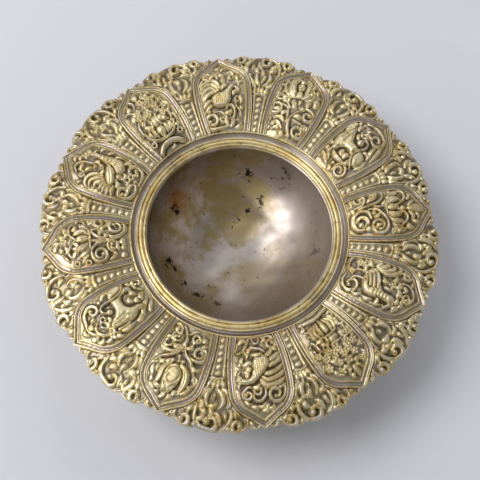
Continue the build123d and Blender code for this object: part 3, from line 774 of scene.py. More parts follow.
def flowerVase(work):
    middle = -1.6
    work.vine(3.0, 2.3, "-12.4,80.6 -6,82 -1.4,82.8 4,82 10.4,80.6", (0.8, 0.8))
    for side in (-1, 1):
        work.leaf(2.9, 2.7, f"{middle + side * 9.2},96.4 {middle + side * 9.8},91.4 {middle + side * 6.4},86")
        work.leaf(2.9, 2.8, f"{middle + side * 6.4},96.6 {middle + side * 6.8},91 {middle + side * 4.2},85.6")
        work.leaf(2.9, 2.9, f"{middle + side * 3.5},96.8 {middle + side * 3.9},91 {middle + side * 2.2},85.2")
        work.vine(1.4, 1.9, f"{middle + side * 8},86.2 {middle + side * 10.6},88 {middle + side * 12.6},86.2")
    work.leaf(3.8, 3.0, "-1.6,97 -1.6,91 -1.6,84.6", 0, 0.0)
    work.boss(-1.8, 100.2, 4.4, 4.2, 0, 2.5)
    work.vine(1.7, 2.8, "-7,97 -2,97.8 4,97", (0.9, 0.9))
    work.vine(1.6, 2.6, "-6.4,104 -2,104.6 2,104")
    work.vine(1.9, 2.4, "-12.6,95.6 -13.6,101 -12,104.4 -9.4,104.4 -8,101.4", (0.8, 0.6))
    work.vine(2.1, 2.6, "2,97.4 2.6,101 4.8,104.4", (0.8, 0.6))
    work.vine(2.1, 2.6, "7.4,103 9,104.6 10.6,102.6 10.8,98 12.2,95.2", (0.6, 0.8))
    bunch(work, 2.5, 0.37, "-10.8,123 7,123 -2,118.6 4.4,116.8 -9,116.2 13,116.2 -16,114.2 -2,113.4 -7,111.6 "
                           "4.4,111.6 -13,109.8 10.4,110 -8.4,107 6.2,107 0,108 13.6,105.6 -15.6,104.8")
    work.leaf(4.0, 2.5, "-2,123 -2.2,127.4 -1.6,132", 0, 0.15)
    work.leaf(2.2, 2.2, "-3.4,123.6 -6,126 -7.6,128.4")
    work.leaf(2.2, 2.2, "0.6,123.4 2.8,126.2 3.6,128.6")
    work.leaf(1.9, 1.9, "10.4,119.4 11,121.6 9.6,124.4")
    work.leaf(1.9, 1.9, "-13.4,118.6 -14.2,121 -13,123.4")
    for x, y in ((14, 101.4), (-15.4, 101), (14.6, 97.4), (-15, 96), (-12.6, 91), (10.8, 91)):
        work.boss(x, y, 1.3, 1.5, 20, 1.7)


def sweptWingBird(work):
    work.scroll(2.2, 2.4, "3,79.4 -4,78.8 -9,78.8 -13,81", "-10,84.2", -1.1)
    work.vine(1.6, 2.0, "-2.4,81 -1,83.8 1,83.6 2.4,80.8")
    work.boss(-12.2, 88.2, 1.9, 2.1, 0, 1.9)
    work.vine(2.1, 2.5, "4.6,80 7,85 9.6,88.6 15.4,90.6")
    work.leaf(2.4, 2.3, "9.4,88.6 7,91.4 7.6,94.6")
    work.leaf(2.6, 2.2, "10,92.4 11.6,96 9.8,99")
    work.boss(12.6, 97.6, 1.9, 2.2, 0, 2.1)
    work.leaf(2.2, 1.9, "14.4,87.6 13,84 14.2,80.6")
    work.plume(3.8, 2.3, "-3,100 -9,98.9 -15,95.2 -17.8,92.2")
    work.plume(3.4, 2.2, "-4,97 -10,94.8 -15.2,90.8")
    work.plume(3.0, 2.0, "-4,94 -8,91.6 -10.6,88")
    work.plume(3.6, 2.4, "-1.4,103.6 -6,105.6 -11,104 -17,99")
    work.plume(3.8, 2.5, "-0.6,106 -4,109.8 -9,109.4 -14,106.4 -18.4,102")
    work.plume(3.8, 2.6, "0.6,107.6 -2.6,112.6 -6,113.9 -12,112 -18.4,107.6")
    work.form(3.2, 2.6, "-7.4,98.6 -6.4,93.6 -1,91.4 3.2,94.4 5,100 5.6,104.4 8,107.2 11.4,106.8 "
                        "13,104.2 15.8,105.4 16,109 12.4,111.2 7,111.6 3,110.2 0,107.6 -4,103.8", 1.5)
    work.boss(13.8, 107.6, 0.8, 0.7, 0, 3.5)
    work.leaf(1.8, 2.3, "12.8,109.6 15,112 14.2,115")
    work.leaf(1.7, 2.3, "14.4,105.8 13.6,103 11.8,101.4")
    work.vine(2.0, 2.6, "-4.8,90 -2,88 1,87.2 4,85.8")
    work.leaf(2.6, 2.2, "-3.8,91.4 0,92 4.4,91.2")
    work.vine(1.7, 2.1, "-17.4,112.4 -11,115.8 -4.4,116.6")
    work.scroll(2.0, 2.3, "-16,114.6 -15.6,119 -12.6,122.8 -8,123.8", "-9.4,119", -1.0)
    work.vine(2.0, 2.5, "-2.6,115.4 -2.2,119.4 1,122.6 4.6,122 6.2,119", (0.7, 0.7))
    work.vine(1.6, 2.2, "0,114.6 1,118 3.4,118.6 4.4,116.4")
    work.scroll(2.1, 2.5, "4.8,118 5.6,114.4 9,113.4 12.4,116.6", "9.4,118.4", 1.05)
    work.leaf(2.6, 2.2, "-2.4,124 0.4,126.8 3.6,125.6")
    work.leaf(2.2, 2.0, "-3.6,124.8 -2.4,128.6 1.4,129.6")
    work.leaf(2.2, 1.9, "6.4,125 9.4,124.4 12.4,121.6")


def closedLotus(work):
    work.scroll(2.1, 2.4, "2,86 -0.4,95.6 -5,99.8 -10,100.4", "-10.8,94.8", 1.45)
    work.scroll(2.1, 2.4, "1.6,88 3,96 7,99.6 12,100", "12.4,94.6", -1.4)
    work.vine(2.2, 2.4, "0.6,97 1.4,88 4,83 6.4,79.8", (0.7, 0.7))
    work.vine(1.9, 2.3, "0.4,93.4 -2.4,98.6 -7,102 -10.4,106 -13,110 -16,111.2")
    work.vine(1.9, 2.4, "1,94.4 3,99 7.4,102.8 12,105.2 16,109.6")
    work.leaf(2.4, 2.0, "-9.4,104.6 -12.6,106 -15.6,103.6")
    work.scroll(1.8, 2.1, "-8.6,81.4 -7.8,86.4 -4.4,88.6", "-5,85.4", -0.9)
    work.boss(-10.4, 84.4, 1.9, 2.1, 0, 1.9)
    work.leaf(2.0, 1.8, "-5,79.8 -1,82 1,85")
    work.scroll(1.8, 2.1, "4.6,90.6 8,92 11,89.6", "8.6,88", -0.9)
    work.vine(2.0, 2.2, "6.6,86 8,81.4 12,79.6 15.4,82.4")
    work.boss(10.6, 83.6, 2.0, 2.4, 20, 2.0)
    work.leaf(2.4, 2.0, "-8.4,124.6 -12.4,121 -15.2,114.4")
    work.scroll(1.7, 2.0, "-11.4,118.6 -14.6,116.4 -16.6,113", "-14.6,112.4", 0.8)
    work.leaf(2.6, 2.0, "12.6,119.6 14.6,116 15.2,111.6")
    work.boss(11.4, 113.6, 2.0, 3.2, 10, 2.3)
    work.leaf(4.6, 2.5, "-1.6,106 -7,110.6 -9,117 -7.6,126")
    work.leaf(3.8, 2.4, "3.6,106.6 7.6,112 8.2,119 9.8,126")
    work.form(3.2, 3.4, "-5.6,112 -5.4,118.6 -3,124.6 1,130 4.8,125.4 6.4,118.4 5.6,111 0.4,106.4", 0)
    work.cut(0.4, 0.5, "-4.6,111.6 -3.8,117 -0.4,119.8 2.8,118 2.4,115.2 0,114.6")
    work.cut(0.4, 0.5, "-4,119.6 -1,123.6 2.4,122.4 3.8,119.4")
    work.cut(0.4, 0.5, "5,116 4,110.8 0.6,108.6 -3,110")
    work.cut(0.35, 0.45, "-1.6,126 1.4,124.8 3.4,126.4")
    work.leaf(3.0, 2.5, "0.4,125.6 1.6,129.6 4.2,131.6")
    work.leaf(2.0, 2.0, "4.6,126.6 6.4,128.6 8.8,127.6")
    for x, y in ((1, 101.4), (0, 104.4), (-2.8, 104), (4, 105)):
        work.boss(x, y, 1.5, 1.5, 0, 2.2)


def rightLion(work):
    work.scroll(2.0, 2.2, "4,81 8,84.8 12.4,84.6", "10.6,81.8", -0.8)
    work.leaf(3.0, 2.1, "-12.6,90.6 -7.4,88.4 -2.6,81.4", 1.3)
    work.leaf(2.6, 2.0, "-12,85.4 -8.4,83 -4.6,79.6", 1.3)
    work.leaf(2.6, 2.2, "3,86.6 6.4,89 9.6,88")
    work.leaf(2.4, 2.1, "10.4,85.4 13.6,88.4 16,87")
    lionBody(work, (0, 0))
    work.vine(1.8, 3.5, "15.4,91 11.2,94 9.4,98.6 9.1,104 9.4,109 8,112.4 5.4,113 3.4,111", (0.8, 0.8))
    work.boss(2.8, 108.8, 2.1, 2.5, -30, 2.9)
    work.leaf(2.2, 2.3, "-12,116.6 -13.4,119.4 -12.4,122")
    work.leaf(2.2, 2.3, "-12.6,113.6 -15.2,111.6 -16.2,108.4")
    work.plume(2.6, 2.3, "-10.4,112 -11.8,106 -10.4,100")
    work.plume(2.4, 2.1, "-13,109.6 -13.8,104 -12.4,97.6")
    work.vine(2.0, 2.3, "-9,115.4 -8.6,119.6 -5,122.9 -1,122.4 1.6,119.6")
    work.vine(1.5, 2.1, "-5.4,116 -3,118.8 0,118.2")
    work.ring(1, 115.4, 1.8, 1.2, 2.2)
    work.boss(5, 121, 1.9, 2.1, 0, 2.2)
    work.scroll(2.4, 2.6, "-6,124 0,127.2 6,126 11,124 14,120", "10,118", -0.95)
    work.leaf(2.2, 1.9, "-3,128.6 0.6,130.4 4,128.8")
    work.leaf(2.2, 1.9, "13.4,109 15.6,106 16.6,102")
    work.boss(13, 111, 1.7, 1.5, 0, 1.8)


def wideLotus(work):
    work.vine(1.9, 2.3, "1,105 0.4,100 0.6,94 2,88 5,82.6 9,80.2 15,80")
    work.scroll(2.1, 2.5, "-0.4,95 -2,101 -6,104.5 -10,104.3", "-9.6,98.6", 1.5)
    work.vine(2.1, 2.4, "1.6,94 3.2,99.6 6.4,103.4 9.4,104.2", (0.7, 0.5))
    work.scroll(2.1, 2.4, "9,103 9.6,96.4 14,92.6 18,95.6", "14,98.2", 0.95)
    work.scroll(2.1, 2.4, "4.2,94.6 3.2,88 6,82.4 11,80.9", "10.6,87", 1.35)
    work.scroll(2.0, 2.2, "-8.4,88.4 -6.4,92.4 -3,93.2", "-3.6,89.4", -1.1)
    work.leaf(2.2, 1.9, "-7,85.6 -3.4,86.8 0,85.4")
    work.boss(-10.2, 82.4, 2.3, 2.0, 0, 2.1)
    work.boss(-5, 82.6, 2.0, 1.8, 0, 2.0)
    work.leaf(2.4, 2.0, "-8.6,87.4 -11.6,89.4 -13.4,92.4")
    work.leaf(2.2, 2.1, "3.4,92 4.2,94.6 6.4,95.6")
    work.vine(1.6, 2.1, "-16.6,109 -10,107.6 -4,105.9 3,105.3 9,106.5 14,108.9 19,110.7", (0.7, 0.7))
    work.leaf(3.2, 2.2, "-7,107.2 -12,109.4 -14.8,111.4")
    work.leaf(3.6, 2.4, "-3,106.4 -8,109.4 -10.6,113.4")
    work.leaf(3.6, 2.3, "8.4,107.2 11.6,110.2 14.4,113.4")
    work.leaf(4.6, 2.6, "-0.4,106 -4,111 -3.8,118.4")
    work.leaf(4.6, 2.6, "5,106.2 8,111.4 6,117.6")
    work.leaf(5.0, 2.8, "2.4,105.8 2.8,110 2.4,116")
    work.vine(2.0, 2.6, "-11,117.8 -8,120.3 -4,120.2 -0.6,118 2,115.6", (0.6, 0.6))
    work.vine(2.0, 2.6, "15,117 12,119.6 8.4,120.1 5,118.4 3,115.6", (0.6, 0.6))
    work.flower(2, 124, 2.8, 2.3)
    work.leaf(2.2, 2.0, "-1,123.4 -4,121.8 -6.6,122.4")
    work.leaf(2.2, 2.0, "5,123.4 8,121.8 10.8,122.4")
    work.leaf(2.4, 2.1, "0.6,126.6 1.8,129.4 0.8,132")
    work.boss(-4.2, 126, 2.8, 1.9, 15, 2.1)
    work.vine(1.5, 1.9, "-12.6,120.4 -10,122.6 -7.6,124.4")
    work.ring(-15, 115, 1.7, 1.3, 1.9)
    work.ring(-15, 107, 1.6, 1.3, 1.9)
    work.leaf(2.2, 1.9, "15.6,115 17.4,112.6 17.6,109")
    work.leaf(2.4, 2.0, "14.6,106.6 16.8,104.4 17.4,101")


def plumedRooster(work):
    work.scroll(2.3, 2.5, "0,81.8 -4,79.7 -10,81.4 -13.4,86", "-9,86.8", -1.05)
    work.vine(1.7, 2.1, "-7,84.4 -3,85.2 0.4,83")
    work.scroll(2.3, 2.5, "1,79.8 6,79.6 11,81.4 13.2,85.6", "8.6,86.6", 0.95)
    work.ring(4, 87, 1.6, 1.2, 1.9)
    work.boss(2.6, 82.6, 1.5, 1.4, 0, 1.8)
    for points in ("-6.4,99.6 -4.4,106 -5.4,111.6 -9,115.2 -13.6,115.2 -17.4,111",
                   "-7,99.2 -6.6,105 -8.6,110.2 -12,112.2 -16,110.2",
                   "-7.4,98.8 -8.8,104 -11.2,107.8 -15.2,107.2",
                   "-7.8,98.4 -10.8,102.4 -15.4,104.2",
                   "-8,97.6 -12,100.2 -16,100.8",
                   "-8,96.6 -12,97.6 -16,97.4",
                   "-7,95.6 -11,94.8 -15.2,93.8"):
        work.plume(2.9, 2.3, points)
    work.form(3.1, 2.6, "-8,97.4 -3,94.4 3,93.4 8,93.4 12,96.8 12.4,102 11.8,108 11,114.6 11,119.4 "
                        "8.6,121.2 7,118.6 6,112 4.4,106.6 0,103 -5,100.6", 1.4)
    work.leaf(6.2, 3.4, "-8,97.4 -1,101 6,105.8", 1.2)
    for y in (105, 108, 111, 114):
        work.cut(0.22, 0.35, f"5.4,{y} 8.6,{y - 1.2:.1f} 11.6,{y}")
    work.boss(9.2, 119, 0.8, 0.7, 0, 3.3)
    work.leaf(2.2, 2.4, "7.6,120 6.6,123.6 8.8,126.2")
    work.leaf(1.6, 2.2, "10,119.4 12,118.8 13.6,117.2")
    work.boss(-0.2, 94.4, 2.3, 3.1, 0, 3.0)
    work.vine(1.4, 2.1, "-0.6,91.8 -1,86.8", (1, 0.8))
    work.leaf(1.8, 1.9, "-5,86 -1,86.8 3.4,86")
    work.vine(2.1, 2.3, "-8.4,124.4 -5,127.2 -2,126.6 0.6,123 1.6,118 2,115", (0.7, 0.6))
    work.scroll(1.9, 2.2, "-5.4,124 -6.2,120.4 -8.4,118", "-8.6,120.4", -0.8)
    work.leaf(2.4, 2.1, "-1.4,128.6 1.8,130.8 4.6,128.4")
    work.leaf(2.2, 2.0, "3.6,121.4 5.6,124.8 5,128")
    work.leaf(2.4, 1.9, "-12.4,118 -14.8,119.6 -15.6,122.4")
    work.boss(0, 113.4, 1.7, 1.7, 0, 2.1)
    work.boss(2.4, 109.4, 1.8, 2.5, -10, 1.9)
    work.leaf(2.8, 2.1, "12.6,115.4 16,114 17.4,109.6")
    work.leaf(2.4, 2.0, "12.8,110 14.6,107.6 16.6,104.4")
    work.leaf(2.2, 1.9, "12.8,104 14.4,100 14.2,95")


def handledVase(work):
    work.vine(3.6, 2.9, "-10.4,80.4 -7,83.4 -1,84.8 5,83.2 8.6,80.2", (0.9, 0.9))
    for x in (-12, 10.8):
        work.ring(x, 88, 1.8, 1.4, 2.3)
    work.vine(2.0, 2.6, "-13,99 -12,94.4 -9,90.4 -3,88.4 3,88.7 8,91.4 11.2,97.4", (0.9, 0.9))
    for x, low in ((-9.6, 91.4), (-6.2, 90.4), (3.6, 90.4), (6.8, 91.4)):
        work.leaf(2.7, 2.6, f"{x},98.8 {x + (0.2 if x > 0 else -0.2):.1f},95 {x * 0.72 - 0.4:.2f},{low}")
    work.leaf(5.2, 3.1, "-1.3,99.4 -1.3,94 -1.3,88.8", 0, 0.0)
    work.boss(-1.6, 103.6, 3.0, 5.4, 0, 2.0)
    work.vine(2.1, 2.5, "-5.4,99 -4.4,103 -5.4,108.6", (0.8, 0.8))
    work.vine(2.1, 2.4, "2,99 1,103 2.4,108.6", (0.8, 0.8))
    work.vine(1.8, 2.5, "-15.8,97.2 -14,99.4 -13.6,104 -12,107.8 -9.4,108.4 -8,106.6", (0.7, 0.7))
    work.vine(1.8, 2.5, "9.2,97.6 11.2,99.8 12,104 10.6,107.8 8,108.3 6.8,106", (0.7, 0.7))
    work.flower(-9.4, 105.6, 1.9, 2.1)
    work.flower(8.4, 105.8, 1.9, 2.1)
    bunch(work, 2.6, 0.41, "-7,116.6 -8.6,111.8 -1.2,111.8 6,111 0,117.4 6.2,115.6 12.2,117.4 -1.6,122.8 "
                           "6.6,121.8 12.4,111.6 3,119.6 -4.4,108.8")
    work.leaf(3.6, 2.2, "-10.4,115.8 -13,113.4 -13.6,109.8")
    work.vine(1.9, 2.1, "-17.4,117.6 -14.4,120 -11,118 -9.6,115", (0.7, 0.6))
    work.vine(1.9, 2.2, "-11,125.4 -8.2,127.6 -6.2,124.6 -7.4,120.6", (0.7, 0.6))
    work.leaf(4.0, 2.4, "-2.4,125.4 -2,129.6 -0.6,133.6", 0, 0.2)
    work.leaf(2.2, 2.0, "1.4,125.8 4.4,128.6 3.6,131")
    work.leaf(2.2, 2.0, "4.4,125.4 8,126.8 10.2,125")
    work.leaf(2.2, 1.9, "13.6,115 15.6,111.4 15.4,107")
    work.leaf(2.0, 1.8, "-16.4,113 -17.4,108 -16.4,103")
    work.leaf(2.2, 1.9, "13.6,103 14.6,98.6 13.4,94")


# clockwise from the petal at the top
figures = [raisedWingBird, blownLotus, leftLion, openLotus, standingGoose, flowerVase,
           sweptWingBird, closedLotus, rightLion, wideLotus, plumedRooster, handledVase]

ribLook = {"sides": 12, "lumps": {"Scale": 330.0, "Detail": 2.0}}


def makeRibSweep():
    # half-round rib swept along a line of edges, a little uneven
    tree = bpy.data.node_groups.new("ribSweep", "GeometryNodeTree")
    kinds = {"Geometry": "Geometry", "ribWidth": "Float", "ribHeight": "Float", "uneven": "Float",
             "rubbed": "Float", "seed": "Float", "finish": "Material"}
    sockets = {}
    for label, kind in kinds.items():
        sockets[label] = tree.interface.new_socket(label, in_out="INPUT", socket_type="NodeSocket" + kind)
    tree.interface.new_socket("Geometry", in_out="OUTPUT", socket_type="NodeSocketGeometry")
    given = addNode(tree, "NodeGroupInput").outputs
    line = addNode(tree, "GeometryNodeMeshToCurve", {"Mesh": given["Geometry"]}).outputs["Curve"]
    line = addNode(tree, "GeometryNodeSetCurveNormal", {"Curve": line}, mode="Z_UP").outputs["Curve"]
    section = {"Resolution": ribLook["sides"], "Radius": 1.0}
    ring = addNode(tree, "GeometryNodeCurvePrimitiveCircle", section).outputs["Curve"]
    size = {"X": calc(tree, "MULTIPLY", given["ribWidth"], 0.5), "Y": given["ribHeight"], "Z": 1.0}
    squash = {"Geometry": ring, "Scale": addNode(tree, "ShaderNodeCombineXYZ", size).outputs[0]}
    ring = addNode(tree, "GeometryNodeTransform", squash).outputs["Geometry"]
    swept = {"Curve": line, "Profile Curve": ring, "Fill Caps": True}
    rib = addNode(tree, "GeometryNodeCurveToMesh", swept).outputs["Mesh"]
    where = addNode(tree, "GeometryNodeInputPosition").outputs[0]
    noise = {"Vector": where, "W": given["seed"], **ribLook["lumps"]}
    lumps = addNode(tree, "ShaderNodeTexNoise", noise, noise_dimensions="4D").outputs["Fac"]
    push = calc(tree, "MULTIPLY", calc(tree, "SUBTRACT", lumps, 0.5), given["uneven"])
    out = addNode(tree, "GeometryNodeInputNormal").outputs[0]
    move = addNode(tree, "ShaderNodeVectorMath", {0: out, "Scale": push}, operation="SCALE").outputs[0]
    rib = addNode(tree, "GeometryNodeSetPosition", {"Geometry": rib, "Offset": move}).outputs["Geometry"]
    rib = addNode(tree, "GeometryNodeSetShadeSmooth", {"Geometry": rib}).outputs["Geometry"]
    mark = {"Geometry": rib, "Name": "rubbed", "Value": given["rubbed"]}
    rib = addNode(tree, "GeometryNodeStoreNamedAttribute", mark, data_type="FLOAT").outputs["Geometry"]
    rib = addNode(tree, "GeometryNodeRealizeInstances", {"Geometry": rib}).outputs["Geometry"]
    cover = {"Geometry": rib, "Material": given["finish"]}
    rib = addNode(tree, "GeometryNodeSetMaterial", cover).outputs["Geometry"]
    addNode(tree, "NodeGroupOutput", {"Geometry": rib})
    return tree, {label: socket.identifier for label, socket in sockets.items()}


ribSweep, ribInputs = makeRibSweep()


def sweptRib(name, line, closed, width, height, finish, uneven, rubbed, seed):
    # line: points in mm
    points = (np.asarray(line) * mm).tolist()
    edges = [(k, k + 1) for k in range(len(points) - 1)]
    if closed:
        edges.append((len(points) - 1, 0))
    mesh = bpy.data.meshes.new(name)
    mesh.from_pydata(points, edges, [])
    piece = addObject(name, mesh)
    sweep = piece.modifiers.new("ribSweep", "NODES")
    sweep.node_group = ribSweep
    values = {"ribWidth": width * mm, "ribHeight": height * mm, "uneven": uneven * mm, "rubbed": rubbed,
              "seed": seed, "finish": finish}
    for label, value in values.items():
        sweep[ribInputs[label]] = value
    made = piece.evaluated_get(bpy.context.evaluated_depsgraph_get())
    solid = bpy.data.meshes.new_from_object(made)
    piece.modifiers.remove(sweep)
    piece.data = solid
    return piece


# Bowl
bowlSize = {
    "mouth": 65.6, "depth": 58.6, "wall": 1.0,
    "base": 12.0,                          # flat middle, before the side curves up
    "centre": 6.0,                         # first ring round the axis
    "bend": 64.6,                          # level at which the side turns out to the lip
    "lipInner": 67.0, "lipOuter": 74.0, "lipTurn": 1.4,
    "segments": 192, "insideSteps": 60, "outsideSteps": 50, "lipSteps": 6,
    "dents": 0.22, "dentSize": 17, "dentFrom": (2, 14), "dentTo": (60, 65),
    # painted shade: the lip's shadow on the inner wall, on the side the lamp comes from
    "darkFrom": 38, "darkOver": 26,        # levels over which the painted shade darkens the wall
    "darkTowards": (-0.82, 0.1), "darkShare": (0.1, 0.8), "darkMost": 0.8, "darkReach": 66.5,
    "stainTowards": (-0.75, 0.66), "stainFrom": (-34, 24), "stainShare": (0.4, 0.6),
    "bright": (42, 18, 18),                # place and reach of a painted highlight, where the stain is thinned under the lamp's highlight
    "brightShare": 0.85,
    "rust": ((-43, 39, 5), (-41, 44, 4)),  # places and reach in plan
    "pits": ((14, 58, 4), (40, 47, 5), (-43, 35, 5), (-22, 36, 2), (-14, 27, 4), (4, 32, 6), (14, 36, 6),
             (23, 38, 4), (-14, 11, 3), (50, -19, 5), (57, -11, 4), (13, -17, 3), (-35, -31, 5),
             (-20, -40, 4), (-43, -23, 6), (-53, -4, 7)),
    "pitsAbove": 5,                        # level below which there are no pits and no rust
}


def bowlSide(size, out, steps, lipTurn):
    # from the axis up the side and over the lip
    floor = size["bend"] - size["depth"] - out
    side = [(0.0, floor), (size["centre"], floor)]
    across = size["mouth"] + out - size["base"]
    for angle in np.linspace(-math.pi / 2, 0, steps):
        level = size["bend"] + (size["depth"] + out) * math.sin(angle)
        side.append((size["base"] + across * math.cos(angle), level))
    for angle in np.linspace(math.pi, math.pi / 2, size["lipSteps"])[1:]:
        side.append((size["lipInner"] + lipTurn * math.cos(angle), size["bend"] + lipTurn * math.sin(angle)))
    return side


def bowlMarks(x, y, z, size):
    radius = np.hypot(x, y)
    # painted shade: darker high on the inner wall on the lamp's side, where the lip casts its shadow; it is
    # carried by the same mark as the patina in recesses
    side = np.clip((z - size["darkFrom"]) / size["darkOver"], 0, 1)
    towards = (x * size["darkTowards"][0] + y * size["darkTowards"][1]) / np.maximum(radius, 1)
    dark = np.clip(side * (size["darkShare"][0] + size["darkShare"][1] * towards), 0, 1)
    dark = dark * (radius < size["darkReach"]) * size["darkMost"]
    across = x * size["stainTowards"][0] + y * size["stainTowards"][1]
    stain = size["stainShare"][0] + size["stainShare"][1] * smoothStep(across, *size["stainFrom"])
    # painted highlight: the stain is thinned round the spot where the lamp's highlight falls
    brightX, brightY, reach = size["bright"]
    bright = np.exp(-((x - brightX) ** 2 + (y - brightY) ** 2) / reach ** 2)
    marks = {"hollow": dark, "stain": stain * (1 - size["brightShare"] * bright)}
    for label in ("pits", "rust"):
        far = [np.hypot(x - spotX, y - spotY) / reach for spotX, spotY, reach in size[label]]
        marks[label] = np.exp(-np.min(far, 0) ** 2) * (z > size["pitsAbove"])
    return marks


def makeBowl(size):
    inside = bowlSide(size, 0, size["insideSteps"], size["lipTurn"])
    outside = bowlSide(size, size["wall"], size["outsideSteps"], size["lipTurn"] - size["wall"])
    lip = [(size["lipOuter"], levels["lip"]), (size["lipOuter"], levels["ledge"])]
    points, faces = lathe(inside + lip + outside[::-1], size["segments"])
    x, y, z = points.T
    radius = np.hypot(x, y)
    beaten = smoothStep(radius, *size["dentFrom"]) * (1 - smoothStep(radius, *size["dentTo"]))
    points[:, 2] += size["dents"] * wobble(size["dentSize"], 3, x, y, z) * beaten
    return meshObject("bowlShell", points, faces, bowlSilver, bowlMarks(*points.T, size))


bowlShell = makeBowl(bowlSize)
print("bowl made")

# Three ribs of the lip
lipSize = {
    "seat": 66.0,
    # radius, width, height and wear of each rib
    "ribs": ((67.95, 2.2, 1.6, 0.2), (70.5, 3.3, 1.85, 0.0), (73.1, 1.9, 1.6, 0.6)),
    "ribLift": 0.3, "uneven": 0.4, "steps": 300,
    # radius and height on the seat, round the strip's section
    "strip": ((67.0, 0.02), (67.0, 0.8), (70.5, 0.6), (73.9, 0.8), (73.9, 0.02)),
    "stripSegments": 240, "stripDark": 0.12,
}


def makeLip(size):
    parts = []
    for k, (radius, width, height, rubbed) in enumerate(size["ribs"]):
        line = circleLine(radius, size["seat"] + size["ribLift"], size["steps"])
        rib = sweptRib(f"lipRib{k}", line, True, width, height, lipGilt, size["uneven"], rubbed, 3.0 + k)
        parts.append(rib)
    strip = [(radius, size["seat"] + height) for radius, height in size["strip"]]
    points, faces = lathe(strip, size["stripSegments"])
    parts.append(meshObject("lipSeat", points, faces, lipGilt, {"hollow": size["stripDark"]}))
    return joined("lipRibs", parts)


lipRibs = makeLip(lipSize)
print("lip made")

# Channel between the lip and the rim
channelSize = {
    "inner": 71.0, "heel": 74.0, "rim": 77.0, "rise": 1.4, "sag": 0.7, "lap": 5.0, "wall": 1.0,
    "coveSteps": 9, "lapSteps": 5, "segments": 240,
    "dark": (0.06, 0.16), "darkSize": 26, "stain": 0.4,
}


def makeChannel(size):
    top = [(size["inner"], levels["ledge"])]
    for share in np.linspace(0, 1, size["coveSteps"]):
        rise = size["rise"] * share - 4 * size["sag"] * share * (1 - share)
        top.append((size["heel"] + (size["rim"] - size["heel"]) * share, levels["ledge"] + rise))
    for radius in np.linspace(size["rim"] + 1, size["rim"] + size["lap"], size["lapSteps"]):
        top.append((radius, rimTop(radius) - levels["rimWall"]))
    profile = top + [(radius, level - size["wall"]) for radius, level in top[::-1]]
    points, faces = lathe(profile, size["segments"])
    dark = size["dark"][0] + size["dark"][1] * wobble(size["darkSize"], 9, *points.T)
    marks = {"hollow": np.clip(dark, 0, 1), "stain": size["stain"]}
    return meshObject("channelRing", points, faces, channelSilver, marks)


channelRing = makeChannel(channelSize)
print("channel made")

# Rim sheet with its scalloped edge; edge points are (across, drop) from the crest on a stem's axis
edgeSize = {
    "crest": (0.0, 0.0), "crestEnd": (10.0, 2.0), "volute": (18.0, 0.5), "voluteEnd": (25.5, 5.5),
    "curl": (29.0, 2.8), "curlEnd": (32.5, 5.5),
    "arcSteps": 20, "curlSteps": 10,
    "rings": 40, "edgeInset": 0.25,
    "beaten": 0.12, "beatenSize": 12, "topDark": 0.8, "underDark": 0.15,
    "rollInset": 0.55, "rollDrop": 0.35,
    "roll": {"width": 1.3, "height": 0.8, "uneven": 0.25, "rubbed": 0.3},
    "stripRadius": 77.9, "stripLift": 0.35, "stripSteps": 360,
    "strip": {"width": 1.5, "height": 1.0, "uneven": 0.35, "rubbed": 0.25},
}


def edgePoint(across, drop):
    reach = levels["crest"] - drop
    angle = math.pi / 2 - across / reach
    return np.array([reach * math.cos(angle), reach * math.sin(angle)])


def arcThrough(first, middle, last, count):
    (ax, ay), (bx, by), (cx, cy) = first, middle, last
    a2, b2, c2 = (x ** 2 + y ** 2 for x, y in (first, middle, last))
    d = 2 * (ax * (by - cy) + bx * (cy - ay) + cx * (ay - by))
    ux = (a2 * (by - cy) + b2 * (cy - ay) + c2 * (ay - by)) / d
    uy = (a2 * (cx - bx) + b2 * (ax - cx) + c2 * (bx - ax)) / d
    start, mid, end = (math.atan2(y - uy, x - ux) for x, y in (first, middle, last))
    sweep = (end - start) % fullTurn
    if (mid - start) % fullTurn > sweep:
        sweep -= fullTurn
    angle = start + sweep * np.linspace(0, 1, count, endpoint=False)
    radius = math.hypot(ax - ux, ay - uy)
    return np.stack([ux + radius * np.cos(angle), uy + radius * np.sin(angle)], 1)


def scallop(size):
    # edge of one sector, from left to right over a stem's axis
    labels = ("crest", "crestEnd", "volute", "voluteEnd", "curl", "curlEnd")
    crest, crestEnd, volute, voluteEnd, curl, curlEnd = (edgePoint(*size[label]) for label in labels)
    flip = np.array([-1, 1])
    many, few = size["arcSteps"], size["curlSteps"]
    return np.vstack([
        arcThrough(curlEnd * flip, curl * flip, voluteEnd * flip, few),
        arcThrough(voluteEnd * flip, volute * flip, crestEnd * flip, many),
        arcThrough(crestEnd * flip, crest, crestEnd, many),
        arcThrough(crestEnd, volute, voluteEnd, many),
        arcThrough(voluteEnd, curl, curlEnd, few),
        curlEnd,
    ])


oneScallop = scallop(edgeSize)


